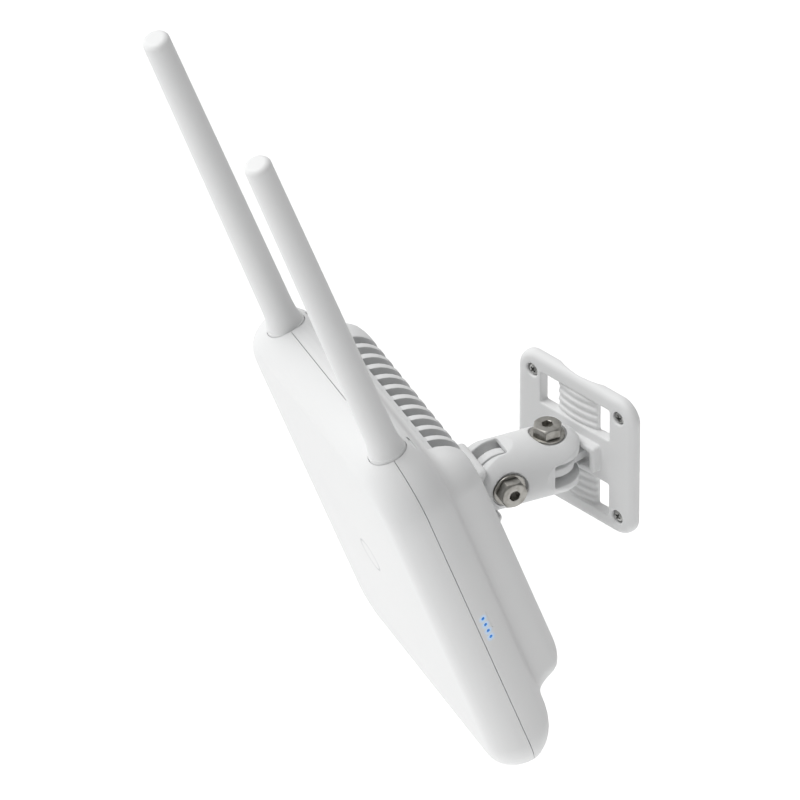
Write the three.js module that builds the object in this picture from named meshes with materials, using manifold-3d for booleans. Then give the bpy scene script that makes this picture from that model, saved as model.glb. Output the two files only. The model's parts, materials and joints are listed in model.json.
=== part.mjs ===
// Outdoor wireless bridge on a swivel wall mount, as an assembly of separate pieces.
// Units are millimetres and +Z is up. The origin is on the wall, midway between the four wall
// screws, +Y points into the wall and the radio looks along -Y, panned and tilted by its arm.
// Panel pieces use the panel's own axes: x across it, y backwards from its seam, z along it.

import * as THREE from "three";
import { mergeVertices } from "three/addons/utils/BufferGeometryUtils.js";
import Module from "manifold-3d";

const wasm = await Module();
wasm.setup();

// ---------------------------------------------------------------- driving dimensions

const GAP = 0.3; // clearance between neighbouring pieces

const POSE = { pan: THREE.MathUtils.degToRad(-20), tilt: THREE.MathUtils.degToRad(20) };

const PLATE = {
  half: 39, // half the side of the square wall plate
  thickness: 5.4,
  corner: 11.6,
  edge: 3.4, // rounding of the front edge
  screw: 28.7, // wall screw centres, each way from the middle
  hole: 2.2,
  sink: 3.5, // radius of the recess round each screw's head
  poleRadius: 42.3,
  poleDepth: 2.6, // how deep the pole groove is cut into the back
  strapWall: 1.7, // wall left between the pole groove and the strap
  slot: { inner: 13.2, outer: 23, low: 12.6, high: 30.3 },
  rib: { count: 4, pitch: 4.4, half: 0.8, height: 0.7 },
  boss: { half: 17.4, proud: 4.8, halfHeight: 7.2 },
  pocket: { half: 14.5, depth: 4, halfHeight: 4.4 }, // hollow in the boss, round the tongue
};

const SCREW = {
  wall: { head: 3.15, shank: 1.9, crown: -4.8, seat: -2.3, tip: -0.5 },
  board: { head: 2.8, shank: 1.4, crown: 10.2, seat: 11.7, tip: 20.3 },
  bracket: { head: 3.7, shank: 2, crown: 41.3, seat: 38.8, tip: 26 },
};

const BOLT = { radius: 4, flats: 13, headTop: 20.9, head: 5, socketFlats: 5, socketDepth: 3, tail: 16.8 };
const NUT = { thickness: 6.5 };
const WASHER = { radius: 8.4, thickness: 1.3 };

const KNUCKLE = {
  disc: 13, // radius of each tongue
  web: 2.4, // half thickness of the tongue's web
  hub: 8.5, // radius of the full-width hub round the bolt
  hubHalf: 5.9,
  saddle: 16, // radius of the hollow that the barrel's end swings in
  slotHalf: 6.2,
  pocket: 13.7, // radius of the pocket that the tongue turns in
  slotPast: 3, // how far the slot runs past the bolt
};

const ARM = {
  panFromWall: 23.8,
  length: 26.9, // from the pan bolt to the tilt bolt
  radius: 17.2,
  end: 15.4, // radius of each rounded end
  shoulder: 9, // where the rounded end has grown to the full radius
  boreRadius: 9.25, // counterbore round each bolt head and nut
  boreFloor: 14, // how far the head's seat is from the arm's axis
  nutFloor: 9.5, // the same for the nut's seat
};

const PANEL = {
  halfWidth: 85,
  halfLength: 105,
  cornerTop: 30,
  cornerFoot: 27,
  front: 18, // depth of the front cover, forward of the seam
  frontRound: 16,
  wall: 2.6,
  back: 15.6, // depth of the rear pan, behind the seam
  backRound: 12,
  fromPivot: 53.7, // seam plane to tilt bolt
  belowPivot: 3.4, // tilt bolt to the panel's middle
};

const SINK = {
  halfWidth: 74,
  low: -66,
  high: 84,
  crest: 35.2, // depth of the fin crests behind the seam
  side: 8, // how far the crest is inset from the platform's foot
  sideDepth: 14,
  corner: 14,
  pitch: 9.26,
  gaps: 11,
  gapWidth: 6.2,
  gapInset: 14, // from the platform's foot to the lower ends of the side gaps
  padGap: 5, // from the bracket's upper end to the gaps over it
  root: 22,
  floor: 19.5, // inside face behind the boards
};

// The recess under the platform's foot that the network port and its fittings open into.
const PORT = { half: 38, face: -55, low: 15.8, high: 31 };

// The network socket behind the port: lowest and highest x, y and z of its shell and its hollow.
const JACK = {
  shell: [-8, 8, 13.9, 27.4, -47.7, -27],
  socket: [-5.9, 5.9, 16.4, 25.4, -60, -34],
};

const BUNG = {
  plug: { half: 8.7, low: 16.6, high: 29 },
  flange: { half: 10.5, low: 16.1, high: 30.6 },
  tab: { half: 4, low: 21, high: 25, end: -61 },
  inner: -49, // how far in the plug goes
  outer: -58, // outside of its flange
};

const FITTING = {
  button: { across: 22, depth: 18.8, radius: 2.2, hole: 2.5 },
  vent: { across: -22, depth: 21.4, radius: 3, hole: 3.3, flange: 5 },
  ground: { across: 32, depth: 21, radius: 1.8, hole: 2.1, head: 3.5 },
};

// The side view of the pan's foot, where the back falls away to the seam.
const footFall = [
  [15.6, -70], [14.5, -80], [12.8, -88], [10.6, -95], [7.6, -100.5], [3.6, -104], [-2, -106],
  [-2, -120], [30, -120], [30, -70]];

const BRACKET = {
  halfWidth: 22,
  low: -40,
  high: 46,
  corner: 8,
  top: 38.5, // back of its base
  block: { half: 14.5, low: -14, high: 20.8, topLow: 45.5, topHigh: 48.3 }, // round the saddle
  screwAcross: 17,
  screwRows: [-28, 34],
  pad: 28, // half width of the plain pad under it
};

const AERIAL = {
  across: 57,
  depth: 0.5, // its axis, behind the seam plane
  tip: 298,
  tipRadius: 6.8,
  tipRound: 2.6,
  baseRadius: 7.7,
  flareStart: 112,
  footTop: 105,
  footRadius: 9.5,
  footBottom: 98,
  bore: 5.2,
  pocketFloor: 96,
};

const BOARD = {
  front: 12,
  thickness: 1.6,
  halfWidth: 50,
  low: -46,
  high: 74,
  post: 44, // how far each way the posts stand across the panel
  postRows: [-38, 66],
};

const ARRAY = {
  front: -6,
  thickness: 1.6,
  halfWidth: 72,
  low: -88,
  high: 72,
  post: 64,
  postRows: [-80, 66],
};

const CAN = { front: 13.9, back: 16.9, padFront: 17.2, padBack: 19.2, padInset: 2 };

// Each shield can on the main board, as its lowest and highest x and z.
const CHIPS = { radio: [-40, -8, 20, 60], processor: [6, 38, 10, 44] };

const LED = { depth: 4.4, centre: -1.7, pitch: 4.1, count: 4, pin: 0.7, hole: 1.05 };

const COLOUR = {
  plastic: { color: 0xe9eaea, roughness: 0.5, metalness: 0 },
  casting: { color: 0xdfe0e0, roughness: 0.55, metalness: 0 },
  steel: { color: 0x9b9a94, roughness: 0.35, metalness: 1 },
  rubber: { color: 0x3a3b3c, roughness: 0.85, metalness: 0 },
  board: { color: 0x1f5b3a, roughness: 0.6, metalness: 0 },
  tin: { color: 0xb9bcbe, roughness: 0.35, metalness: 1 },
  pad: { color: 0x8fa3b5, roughness: 0.9, metalness: 0 },
  brass: { color: 0xc9a64f, roughness: 0.35, metalness: 1 },
  lens: { color: 0x3f9bff, roughness: 0.2, metalness: 0 },
};

// ---------------------------------------------------------------- solids

// Turns a closed three.js geometry into a solid that can be joined and cut.
function solid(geometry) {
  const bare = new THREE.BufferGeometry();
  bare.setAttribute("position", geometry.getAttribute("position"));
  bare.setIndex(geometry.getIndex());
  const merged = mergeVertices(bare, 1e-4);
  const index = merged.getIndex().array;
  const kept = [];
  for (let i = 0; i < index.length; i += 3) {
    const [a, b, c] = index.subarray(i, i + 3);
    if (a !== b && b !== c && c !== a) kept.push(a, b, c);
  }
  return new wasm.Manifold(
    new wasm.Mesh({
      numProp: 3,
      vertProperties: merged.getAttribute("position").array,
      triVerts: new Uint32Array(kept),
    }),
  );
}

// Gives a solid back as a geometry that a mesh can use.
function geometryOf(shape) {
  const mesh = shape.getMesh();
  const geometry = new THREE.BufferGeometry();
  geometry.setAttribute("position", new THREE.BufferAttribute(mesh.vertProperties, 3));
  geometry.setIndex(new THREE.BufferAttribute(mesh.triVerts, 1));
  geometry.computeVertexNormals();
  return geometry;
}

// How an outline drawn in x and y, and extruded along z, is laid along each axis.
const ALONG = {
  x: new THREE.Matrix4().makeBasis(
    new THREE.Vector3(0, 1, 0), new THREE.Vector3(0, 0, 1), new THREE.Vector3(1, 0, 0)),
  y: new THREE.Matrix4().makeBasis(
    new THREE.Vector3(1, 0, 0), new THREE.Vector3(0, 0, 1), new THREE.Vector3(0, -1, 0)),
  z: new THREE.Matrix4(),
};

function box(x0, x1, y0, y1, z0, z1) {
  const geometry = new THREE.BoxGeometry(x1 - x0, y1 - y0, z1 - z0);
  return solid(geometry.translate((x0 + x1) / 2, (y0 + y1) / 2, (z0 + z1) / 2));
}

// A cylinder, or with 6 sides a hexagon, along an axis through the point at.
function rod(axis, radius, low, high, at = [0, 0, 0], sides = 16) {
  const geometry = new THREE.CylinderGeometry(radius, radius, high - low, sides);
  geometry.translate(0, (low + high) / 2, 0);
  if (axis === "x") geometry.rotateZ(-Math.PI / 2);
  if (axis === "z") geometry.rotateX(Math.PI / 2);
  return solid(geometry.translate(...at));
}

// Extrudes an outline between two stations of an axis, with an optional rounded edge at one end.
function prism(outline, axis, low, high, round = null, curve = 5) {
  const extra = round ? round.depth : 0;
  const geometry = new THREE.ExtrudeGeometry(outline, {
    depth: high - low,
    curveSegments: curve,
    bevelEnabled: Boolean(round),
    bevelThickness: extra,
    bevelSize: round ? round.size : 0,
    bevelOffset: round ? -round.size : 0,
    bevelSegments: round ? round.steps : 0,
  });
  // The rounding stands outside the extruded length, so the length is moved until the rounded
  // end is in place, and the other end is cut off square.
  const atLow = round && round.end === "low";
  const shift = atLow ? extra : round ? -extra : 0;
  geometry.translate(0, 0, axis === "y" ? -high - shift : low + shift);
  const laid = solid(geometry.applyMatrix4(ALONG[axis]));
  if (!round) return laid;
  const far = 400;
  const keep = { x: [-far, far], y: [-far, far], z: [-far, far] };
  keep[axis] = [low, high];
  return laid.intersect(box(...keep.x, ...keep.y, ...keep.z));
}

function roundedRect(x0, x1, y0, y1, low, high = low) {
  const shape = new THREE.Shape();
  shape.absarc(x1 - high, y1 - high, high, 0, Math.PI / 2);
  shape.absarc(x0 + high, y1 - high, high, Math.PI / 2, Math.PI);
  shape.absarc(x0 + low, y0 + low, low, Math.PI, Math.PI * 1.5);
  shape.absarc(x1 - low, y0 + low, low, Math.PI * 1.5, Math.PI * 2);
  shape.closePath();
  return shape;
}

function polygon(points) {
  return new THREE.Shape(points.map(([x, y]) => new THREE.Vector2(x, y)));
}

// Turns a profile of [radius, height] points about the Z axis.
function turned(profile, sides = 24) {
  const points = profile.map(([radius, height]) => new THREE.Vector2(radius, height));
  return solid(new THREE.LatheGeometry(points, sides).rotateX(Math.PI / 2));
}

const joined = (first, ...others) => others.reduce((whole, piece) => whole.add(piece), first);
const cut = (first, ...others) => others.reduce((whole, piece) => whole.subtract(piece), first);

function addMesh(group, name, shape, finish) {
  const mesh = new THREE.Mesh(geometryOf(shape), new THREE.MeshStandardMaterial(finish));
  mesh.name = name;
  group.add(mesh);
  return mesh;
}

// ---------------------------------------------------------------- wall plate

// The tongue of a knuckle, on a bolt along the axis, with its neck running back to the root box.
function tongue(axis, at, root) {
  const web = rod(axis, KNUCKLE.disc, -KNUCKLE.web, KNUCKLE.web, at, 28);
  const hub = rod(axis, KNUCKLE.hub, -KNUCKLE.hubHalf, KNUCKLE.hubHalf, at);
  const hole = rod(axis, BOLT.radius + GAP, -20, 20, at);
  return joined(web, hub, box(...root)).subtract(hole);
}

// One of the two curved seats that a pole strap bears on, with ribs across it.
function strapSeat(side) {
  const centre = PLATE.poleRadius - PLATE.poleDepth;
  const radius = PLATE.poleRadius + PLATE.strapWall;
  const [low, high] = [PLATE.slot.low, PLATE.slot.high].map((z) => z * side).sort((a, b) => a - b);
  const { inner } = PLATE.slot;
  const window = box(-inner, inner, -12, -0.5, low, high);
  const seat = rod("z", radius, low - 1, high + 1, [0, centre, 0], 96);
  const middle = (low + high) / 2;
  const { count, pitch, half, height } = PLATE.rib;
  const ribs = [];
  for (let i = 0; i < count; i += 1) {
    const z = middle + (i - (count - 1) / 2) * pitch;
    const ring = rod("z", radius + height, z - half, z + half, [0, centre, 0], 96);
    ribs.push(ring.intersect(box(-inner, inner, -12, -1.5, low, high)));
  }
  return { hollow: window.subtract(seat), ribs };
}

// The block that the arm's end swings against, hollowed round the tongue.
function wallBoss() {
  const { thickness, boss, pocket } = PLATE;
  const front = -thickness - boss.proud;
  return cut(
    box(-boss.half, boss.half, front, -thickness + 1, -boss.halfHeight, boss.halfHeight),
    rod("z", KNUCKLE.saddle, -20, 20, [0, -ARM.panFromWall, 0], 40),
    box(-pocket.half, pocket.half, front - 1, front + pocket.depth,
      -pocket.halfHeight, pocket.halfHeight),
  );
}

function wallPlate() {
  const { half, thickness, corner, edge, screw, hole, sink, slot } = PLATE;
  const round = { depth: edge, size: edge, steps: 2, end: "low" };
  let plate = prism(roundedRect(-half, half, -half, half, corner), "y", -thickness, 0, round);
  plate = plate.add(wallBoss());
  for (const side of [-1, 1]) {
    const { hollow, ribs } = strapSeat(side);
    plate = joined(plate.subtract(hollow), ...ribs);
    for (const across of [-1, 1]) {
      const [x0, x1] = [slot.inner * across, slot.outer * across].sort((a, b) => a - b);
      const [z0, z1] = [slot.low * side, slot.high * side].sort((a, b) => a - b);
      const at = [screw * across, 0, screw * side];
      const head = rod("y", sink, -20, SCREW.wall.seat + GAP, at);
      plate = cut(plate, box(x0, x1, -20, 5, z0, z1), rod("y", hole, -20, 5, at), head);
    }
  }
  const centre = PLATE.poleRadius - PLATE.poleDepth;
  plate = plate.subtract(rod("z", PLATE.poleRadius, -half - 1, half + 1, [0, centre, 0], 96));
  const neck = [-9, 9, -ARM.panFromWall, -thickness + 0.5, -KNUCKLE.web, KNUCKLE.web];
  return plate.add(tongue("z", [0, -ARM.panFromWall, 0], neck));
}

// A cross-recessed pan-head screw along Y, with its head at either end.
function crossScrew({ head, shank, crown, seat, tip }) {
  const [low, high] = [Math.min(crown, seat), Math.max(crown, seat)];
  const [start, end] = [Math.min(seat, tip), Math.max(seat, tip)];
  const body = rod("y", head, low, high, [0, 0, 0], 12)
    .add(rod("y", shank, start - 0.1, end + 0.1, [0, 0, 0], 8))
    .intersect(box(-head, head, Math.min(low, tip), Math.max(high, tip), -head, head));
  const arm = head * 0.55;
  const deep = [crown - 1, crown + 1];
  return cut(body, box(-arm, arm, ...deep, -0.5, 0.5), box(-0.5, 0.5, ...deep, -arm, arm));
}

// ---------------------------------------------------------------- arm

// Outline of the barrel's rounded end about a bolt at the origin, with the barrel going down.
function barrelEnd() {
  const shape = new THREE.Shape();
  const wide = ARM.radius + 0.2;
  shape.absarc(0, 0, ARM.end, 0, Math.PI);
  shape.quadraticCurveTo(-ARM.end, -ARM.shoulder / 2, -wide, -ARM.shoulder);
  shape.lineTo(-wide, -80);
  shape.lineTo(wide, -80);
  shape.lineTo(wide, -ARM.shoulder);
  shape.quadraticCurveTo(ARM.end, -ARM.shoulder / 2, ARM.end, 0);
  return shape;
}

// Everything cut round one bolt: the tongue's slot and pocket, the bore and both counterbores.
function knuckleCuts(axis, at, slot) {
  const bore = rod(axis, BOLT.radius + GAP, -30, 30, at);
  const pocket = rod(axis, KNUCKLE.pocket, -KNUCKLE.slotHalf, KNUCKLE.slotHalf, at, 28);
  const ends = [[ARM.boreFloor, 30], [-30, -ARM.nutFloor]].map(([low, high]) =>
    rod(axis, ARM.boreRadius, low, high, at, 24));
  return [bore, pocket, box(...slot), ...ends];
}

function armBarrel() {
  const tiltAt = [0, -ARM.length, 0];
  const tube = rod("y", ARM.radius, -60, 30, [0, 0, 0], 40);
  const panEnd = prism(barrelEnd(), "z", -30, 30, null, 6);
  const tiltEnd = solid(
    new THREE.ExtrudeGeometry(barrelEnd(), { depth: 60, curveSegments: 6, bevelEnabled: false })
      .translate(0, 0, -30).rotateZ(Math.PI).rotateY(Math.PI / 2).translate(...tiltAt));
  const half = KNUCKLE.slotHalf;
  const panSlot = [-30, 30, -KNUCKLE.slotPast, 40, -half, half];
  const tiltSlot = [-half, half, -ARM.length - 40, -ARM.length + KNUCKLE.slotPast, -30, 30];
  return cut(
    tube.intersect(panEnd).intersect(tiltEnd),
    ...knuckleCuts("z", [0, 0, 0], panSlot),
    ...knuckleCuts("x", tiltAt, tiltSlot),
  );
}

// A hexagon bolt along Z with its head up, and a hexagon socket in the head.
function hexBolt() {
  const corner = BOLT.flats / Math.sqrt(3);
  const bottom = BOLT.headTop - BOLT.head;
  const chamfer = turned([
    [0, bottom - 1], [corner + 1, bottom - 1], [corner + 1, BOLT.headTop - 1.2],
    [BOLT.flats / 2 - 0.3, BOLT.headTop], [0, BOLT.headTop]]);
  const head = rod("z", corner, bottom, BOLT.headTop, [0, 0, 0], 6).intersect(chamfer);
  const shank = rod("z", BOLT.radius, -BOLT.tail, bottom + 0.5);
  const socketCorner = BOLT.socketFlats / Math.sqrt(3);
  const socket = rod("z", socketCorner, BOLT.headTop - BOLT.socketDepth, BOLT.headTop + 1, [0, 0, 0], 6);
  return head.add(shank).subtract(socket);
}

function washer() {
  const low = BOLT.headTop - BOLT.head - GAP - WASHER.thickness;
  const ring = rod("z", WASHER.radius, low, low + WASHER.thickness);
  return ring.subtract(rod("z", BOLT.radius + GAP, low - 1, low + 3));
}

function hexNut() {
  const high = -ARM.nutFloor - GAP;
  const low = high - NUT.thickness;
  const block = rod("z", BOLT.flats / Math.sqrt(3), low, high, [0, 0, 0], 6);
  return block.subtract(rod("z", BOLT.radius + GAP, low - 1, high + 1));
}

// ---------------------------------------------------------------- panel shells

function panelOutline(inset) {
  const { halfWidth, halfLength, cornerTop, cornerFoot } = PANEL;
  return roundedRect(-halfWidth + inset, halfWidth - inset, -halfLength + inset, halfLength - inset,
    cornerFoot - inset, cornerTop - inset);
}

// The collars in which an aerial stands, and the pockets and bores cut through them.
function aerialSeats() {
  const at = (side) => [AERIAL.across * side, AERIAL.depth, 0];
  const collars = [-1, 1].map((side) => rod("z", AERIAL.footRadius + 3, 91, 110, at(side)));
  const pockets = [-1, 1].map((side) =>
    rod("z", AERIAL.footRadius + GAP, AERIAL.pocketFloor, 120, at(side), 24).add(
      rod("z", 5, 80, 120, at(side))));
  return { collars: joined(...collars), pockets: joined(...pockets) };
}

// A post along Y at each of four places.
function posts(radius, low, high, across, rows, sides = 8) {
  return [-across, across].flatMap((x) => rows.map((z) => rod("y", radius, low, high, [x, 0, z], sides)));
}

function frontCover() {
  const { front, frontRound, wall } = PANEL;
  const rim = -GAP / 2;
  const round = { depth: front, size: frontRound, steps: 5, end: "low" };
  const outer = prism(panelOutline(0), "y", -front, rim, round);
  const innerRound = { depth: front - wall, size: frontRound - wall, steps: 3, end: "low" };
  const inner = prism(panelOutline(wall), "y", -front + wall, 5, innerRound);
  const { collars, pockets } = aerialSeats();
  const ribs = posts(2.5, -front + 1, ARRAY.front - GAP, ARRAY.post, ARRAY.postRows);
  return joined(outer.subtract(inner), collars.intersect(outer), ...ribs).subtract(pockets);
}

function coverGasket() {
  const [low, high] = [-1.8, -GAP / 2];
  const inside = prism(panelOutline(6.4), "y", low - 1, high + 1);
  const ring = prism(panelOutline(3.7), "y", low, high).subtract(inside);
  return ring.subtract(box(-72, 72, -5, 5, 88, 120));
}

function sinkBlock() {
  const { halfWidth, low, high, crest, corner, side, sideDepth } = SINK;
  const round = { depth: sideDepth, size: side, steps: 4, end: "high" };
  return prism(roundedRect(-halfWidth, halfWidth, low, high, corner), "y", 5, crest, round);
}

// The grooves between the cooling fins; the ones over the bracket's pad stop short above it.
function finGaps() {
  const cuts = [];
  for (let i = 0; i < SINK.gaps; i += 1) {
    const x = (i - (SINK.gaps - 1) / 2) * SINK.pitch;
    const overPad = Math.abs(x) < BRACKET.pad + SINK.gapWidth / 2;
    const start = overPad ? BRACKET.high + SINK.padGap : SINK.low + SINK.gapInset;
    cuts.push(box(x - SINK.gapWidth / 2, x + SINK.gapWidth / 2, SINK.root, 50, start, 100));
  }
  return cuts;
}

function rearHousing() {
  const { back, backRound, wall } = PANEL;
  const rim = GAP / 2;
  const round = { depth: back, size: backRound, steps: 4, end: "high" };
  const pan = prism(panelOutline(0), "y", rim, back, round);
  const portBlock = box(-PORT.half, PORT.half, 12, PORT.high, PORT.face, -45);
  const portClear = box(-PORT.half, PORT.half, PORT.low, PORT.high, -80, PORT.face);
  let outer = joined(cut(pan, prism(polygon(footFall), "x", -100, 100)), sinkBlock(), portBlock);
  outer = outer.subtract(portClear);

  const rimBand = prism(panelOutline(7), "y", -5, 4);
  const shallow = prism(panelOutline(wall + 0.6), "y", 3, 9.5, { depth: 6, size: 5, steps: 2, end: "high" })
    .subtract(box(-100, 100, 0, 30, -120, -84));
  const deep = box(-66, 66, -1, SINK.floor, -48, 78);
  const sides = [-1, 1].map((side) => {
    const [x0, x1] = [53.5 * side, 68.5 * side].sort((a, b) => a - b);
    return box(x0, x1, 8, 30, -42, 74);
  });
  const jackPocket = box(-11, 11, 10, 30, -48, -24);
  const { collars, pockets } = aerialSeats();

  let housing = cut(outer, rimBand, shallow, deep, ...sides, jackPocket);
  const boardSeat = BOARD.front + BOARD.thickness + GAP;
  const boardPosts = posts(3.5, boardSeat, SINK.floor + 1, BOARD.post, BOARD.postRows);
  const arrayPosts = posts(3, ARRAY.front + ARRAY.thickness + GAP, 31, ARRAY.post, ARRAY.postRows)
    .map((post) => post.intersect(outer.add(box(-80, 80, -10, 3, -90, 90))));
  housing = joined(housing, collars.intersect(outer), ...boardPosts, ...arrayPosts);

  const boardHoles = posts(1.7, 5, 20.8, BOARD.post, BOARD.postRows);
  const bracketHoles = posts(2.3, 25, 50, BRACKET.screwAcross, BRACKET.screwRows);
  const window = box(-9, 9, 16.3, 29.3, PORT.face - 5, -47);
  const fittings = Object.values(FITTING).map(({ across, depth, hole }) =>
    rod("z", hole, PORT.face - 5, -44, [across, depth, 0]));
  const ledHoles = ledRows().map((z) => rod("x", LED.hole, 76, 90, [0, LED.depth, z], 8));
  const slit = box(83.2, 90, 6.6, 7.5, LED.centre - 2.2, LED.centre + 9);
  const releaseSlots = [-1, 1].map((side) =>
    box(AERIAL.across * side - 5.5, AERIAL.across * side + 5.5, 12, 13.4, 96.5, 110));
  return cut(housing, pockets, ...boardHoles, ...bracketHoles, window, ...fittings,
    ...ledHoles, slit, ...releaseSlots, ...finGaps());
}

function ledRows() {
  return Array.from({ length: LED.count }, (_, i) => LED.centre + (i - (LED.count - 1) / 2) * LED.pitch);
}

function ledLightGuide() {
  const [first, last] = [ledRows()[0], ledRows()[LED.count - 1]];
  const bar = box(79.2, 80.9, LED.depth - 0.9, LED.depth + 0.9, first - 1.6, last + 1.6);
  return joined(bar, ...ledRows().map((z) => rod("x", LED.pin, 80.5, 84.2, [0, LED.depth, z], 8)));
}

// ---------------------------------------------------------------- panel insides

function drilledBoard({ front, thickness, halfWidth, low, high }, holes) {
  const outline = roundedRect(-halfWidth, halfWidth, low, high, 4);
  return cut(prism(outline, "y", front, front + thickness, null, 2), ...holes);
}

function ethernetJack() {
  const { shell, socket } = JACK;
  return box(...shell).subtract(box(...socket));
}

function portBung() {
  const { plug: p, flange: f, inner, outer, tab: t } = BUNG;
  const plug = prism(roundedRect(-p.half, p.half, p.low, p.high, 2), "z", PORT.face - 1, inner, null, 2);
  const rim = roundedRect(-f.half, f.half, f.low, f.high, 3);
  const flange = prism(rim, "z", outer, PORT.face - GAP, null, 3);
  const tab = box(-t.half, t.half, t.low, t.high, t.end, outer + 0.5);
  return joined(plug, flange, tab);
}

function coaxLead(side) {
  const start = new THREE.Vector3(AERIAL.across * side, AERIAL.depth, 77.4);
  const end = new THREE.Vector3(47 * side, BOARD.front - 1.4, 60);
  const path = new THREE.CatmullRomCurve3([
    start,
    new THREE.Vector3(56 * side, 1.2, 71),
    new THREE.Vector3(51 * side, 6, 63.5),
    end,
  ]);
  const section = new THREE.Shape().absarc(0, 0, 0.9, 0, Math.PI * 2);
  return solid(new THREE.ExtrudeGeometry(section, { steps: 8, curveSegments: 3, extrudePath: path }));
}

// ---------------------------------------------------------------- bracket on the panel's back

function panelBracket() {
  const { halfWidth, low, high, corner, top, block: b, screwAcross, screwRows } = BRACKET;
  const pivot = [0, PANEL.fromPivot, PANEL.belowPivot];
  const round = { depth: 1, size: 1, steps: 2, end: "high" };
  const foot = SINK.crest + GAP;
  const block = prism(
    polygon([[foot, b.low], [b.topLow, b.low], [b.topHigh, b.high], [foot, b.high]]), "x", -b.half, b.half);
  const base = prism(roundedRect(-halfWidth, halfWidth, low, high, corner), "y", foot, top, round)
    .add(block)
    .subtract(rod("x", KNUCKLE.saddle, -40, 40, pivot, 40));
  const neck = [-KNUCKLE.web, KNUCKLE.web, foot + 0.5, pivot[1], pivot[2] - 11, pivot[2] + 11];
  const holes = posts(2.3, 30, 50, screwAcross, screwRows);
  return cut(base.add(tongue("x", pivot, neck)), ...holes);
}

// ---------------------------------------------------------------- aerials

// Half of the aerial's outside, from the foot up, as [radius, height] points.
function aerialOutside() {
  const { footRadius, footBottom, footTop, baseRadius, flareStart, tip, tipRadius, tipRound } = AERIAL;
  const flare = [0.25, 0.5, 0.75, 1].map((t) => [
    baseRadius + (footRadius - 0.4 - baseRadius) * (1 - t) ** 2,
    footTop + (flareStart - footTop) * t,
  ]);
  const cap = [0, 30, 60, 90].map(THREE.MathUtils.degToRad).map((angle) => [
    tipRadius - tipRound * (1 - Math.cos(angle)),
    tip - tipRound * (1 - Math.sin(angle)),
  ]);
  return [[footRadius, footBottom], [footRadius, footTop], ...flare, ...cap, [0, tip]];
}

function aerialSleeve() {
  const { bore, footBottom, footRadius, tip } = AERIAL;
  const inside = [[0, tip - 2.5], [bore, tip - 4], [bore, footBottom], [footRadius, footBottom]];
  return turned([...aerialOutside(), ...inside], 20);
}

function addAerial(group, side, name) {
  const assembly = new THREE.Group();
  assembly.position.set(AERIAL.across * side, AERIAL.depth, 0);
  group.add(assembly);
  addMesh(assembly, `${name}_sleeve`, aerialSleeve(), COLOUR.plastic);
  addMesh(assembly, `${name}_radiator`, box(-3.5, 3.5, -0.6, 0.6, 106, 288), COLOUR.board);
  addMesh(assembly, `${name}_connector`, rod("z", 4.4, 84, 104, [0, 0, 0], 16), COLOUR.brass);
  const seal = rod("z", 8.6, 96.4, 97.6).subtract(rod("z", 4.9, 90, 100));
  addMesh(assembly, `${name}_seal`, seal, COLOUR.rubber);
  const socket = rod("z", 7.5, 78, 89).subtract(rod("z", 4.9, 82, 95));
  addMesh(assembly, `${name}_socket`, socket, COLOUR.brass);
}

// ---------------------------------------------------------------- assembly

function addWallGroup(root) {
  addMesh(root, "wall_plate", wallPlate(), COLOUR.casting);
  const screw = crossScrew(SCREW.wall);
  [[-1, 1], [1, 1], [1, -1], [-1, -1]].forEach(([across, side], i) => {
    const mesh = addMesh(root, `wall_screw_${i + 1}`, screw, COLOUR.steel);
    mesh.position.set(PLATE.screw * across, 0, PLATE.screw * side);
  });
}

// The bolt, washer and nut of one knuckle.
function addHardware(group, name, position, turn) {
  const set = new THREE.Group();
  set.position.set(...position);
  set.rotation.y = turn;
  group.add(set);
  addMesh(set, `${name}_bolt`, hexBolt(), COLOUR.steel);
  addMesh(set, `${name}_washer`, washer(), COLOUR.steel);
  addMesh(set, `${name}_nut`, hexNut(), COLOUR.steel);
}

function addBoards(panel) {
  const holes = posts(1.8, 5, 20, BOARD.post, BOARD.postRows);
  addMesh(panel, "main_board", drilledBoard(BOARD, holes), COLOUR.board);
  addMesh(panel, "array_board", drilledBoard(ARRAY, []), COLOUR.board);
  const screw = crossScrew(SCREW.board);
  const places = [-BOARD.post, BOARD.post].flatMap((x) => BOARD.postRows.map((z) => [x, z]));
  places.forEach(([x, z], i) => {
    addMesh(panel, `board_screw_${i + 1}`, screw, COLOUR.steel).position.set(x, 0, z);
  });
  for (const [name, [x0, x1, z0, z1]] of Object.entries(CHIPS)) {
    const { front, back, padFront, padBack, padInset: inset } = CAN;
    const pad = box(x0 + inset, x1 - inset, padFront, padBack, z0 + inset, z1 - inset);
    addMesh(panel, `shield_can_${name}`, box(x0, x1, front, back, z0, z1), COLOUR.tin);
    addMesh(panel, `thermal_pad_${name}`, pad, COLOUR.pad);
  }
}

// The reset button and its switch, the vent plug and the ground screw.
function addFittings(panel) {
  const { button, vent, ground } = FITTING;
  const seat = PORT.face - GAP;
  const put = (name, shape, finish, at) => {
    addMesh(panel, name, shape, finish).position.set(at.across, at.depth, 0);
  };
  put("reset_button", rod("z", button.radius, seat - 1.1, -46), COLOUR.rubber, button);
  const cap = rod("z", vent.flange, seat - 1.7, seat, [0, 0, 0], 20);
  put("vent_plug", cap.add(rod("z", vent.radius, seat - 0.1, -49)), COLOUR.rubber, vent);
  const head = rod("z", ground.head, seat - 2.3, seat);
  put("ground_screw", head.add(rod("z", ground.radius, seat - 0.1, -47)), COLOUR.brass, ground);
  addMesh(panel, "reset_switch", box(19.5, 24.5, 13.9, 19.2, -44.7, -40), COLOUR.tin);
}

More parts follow.
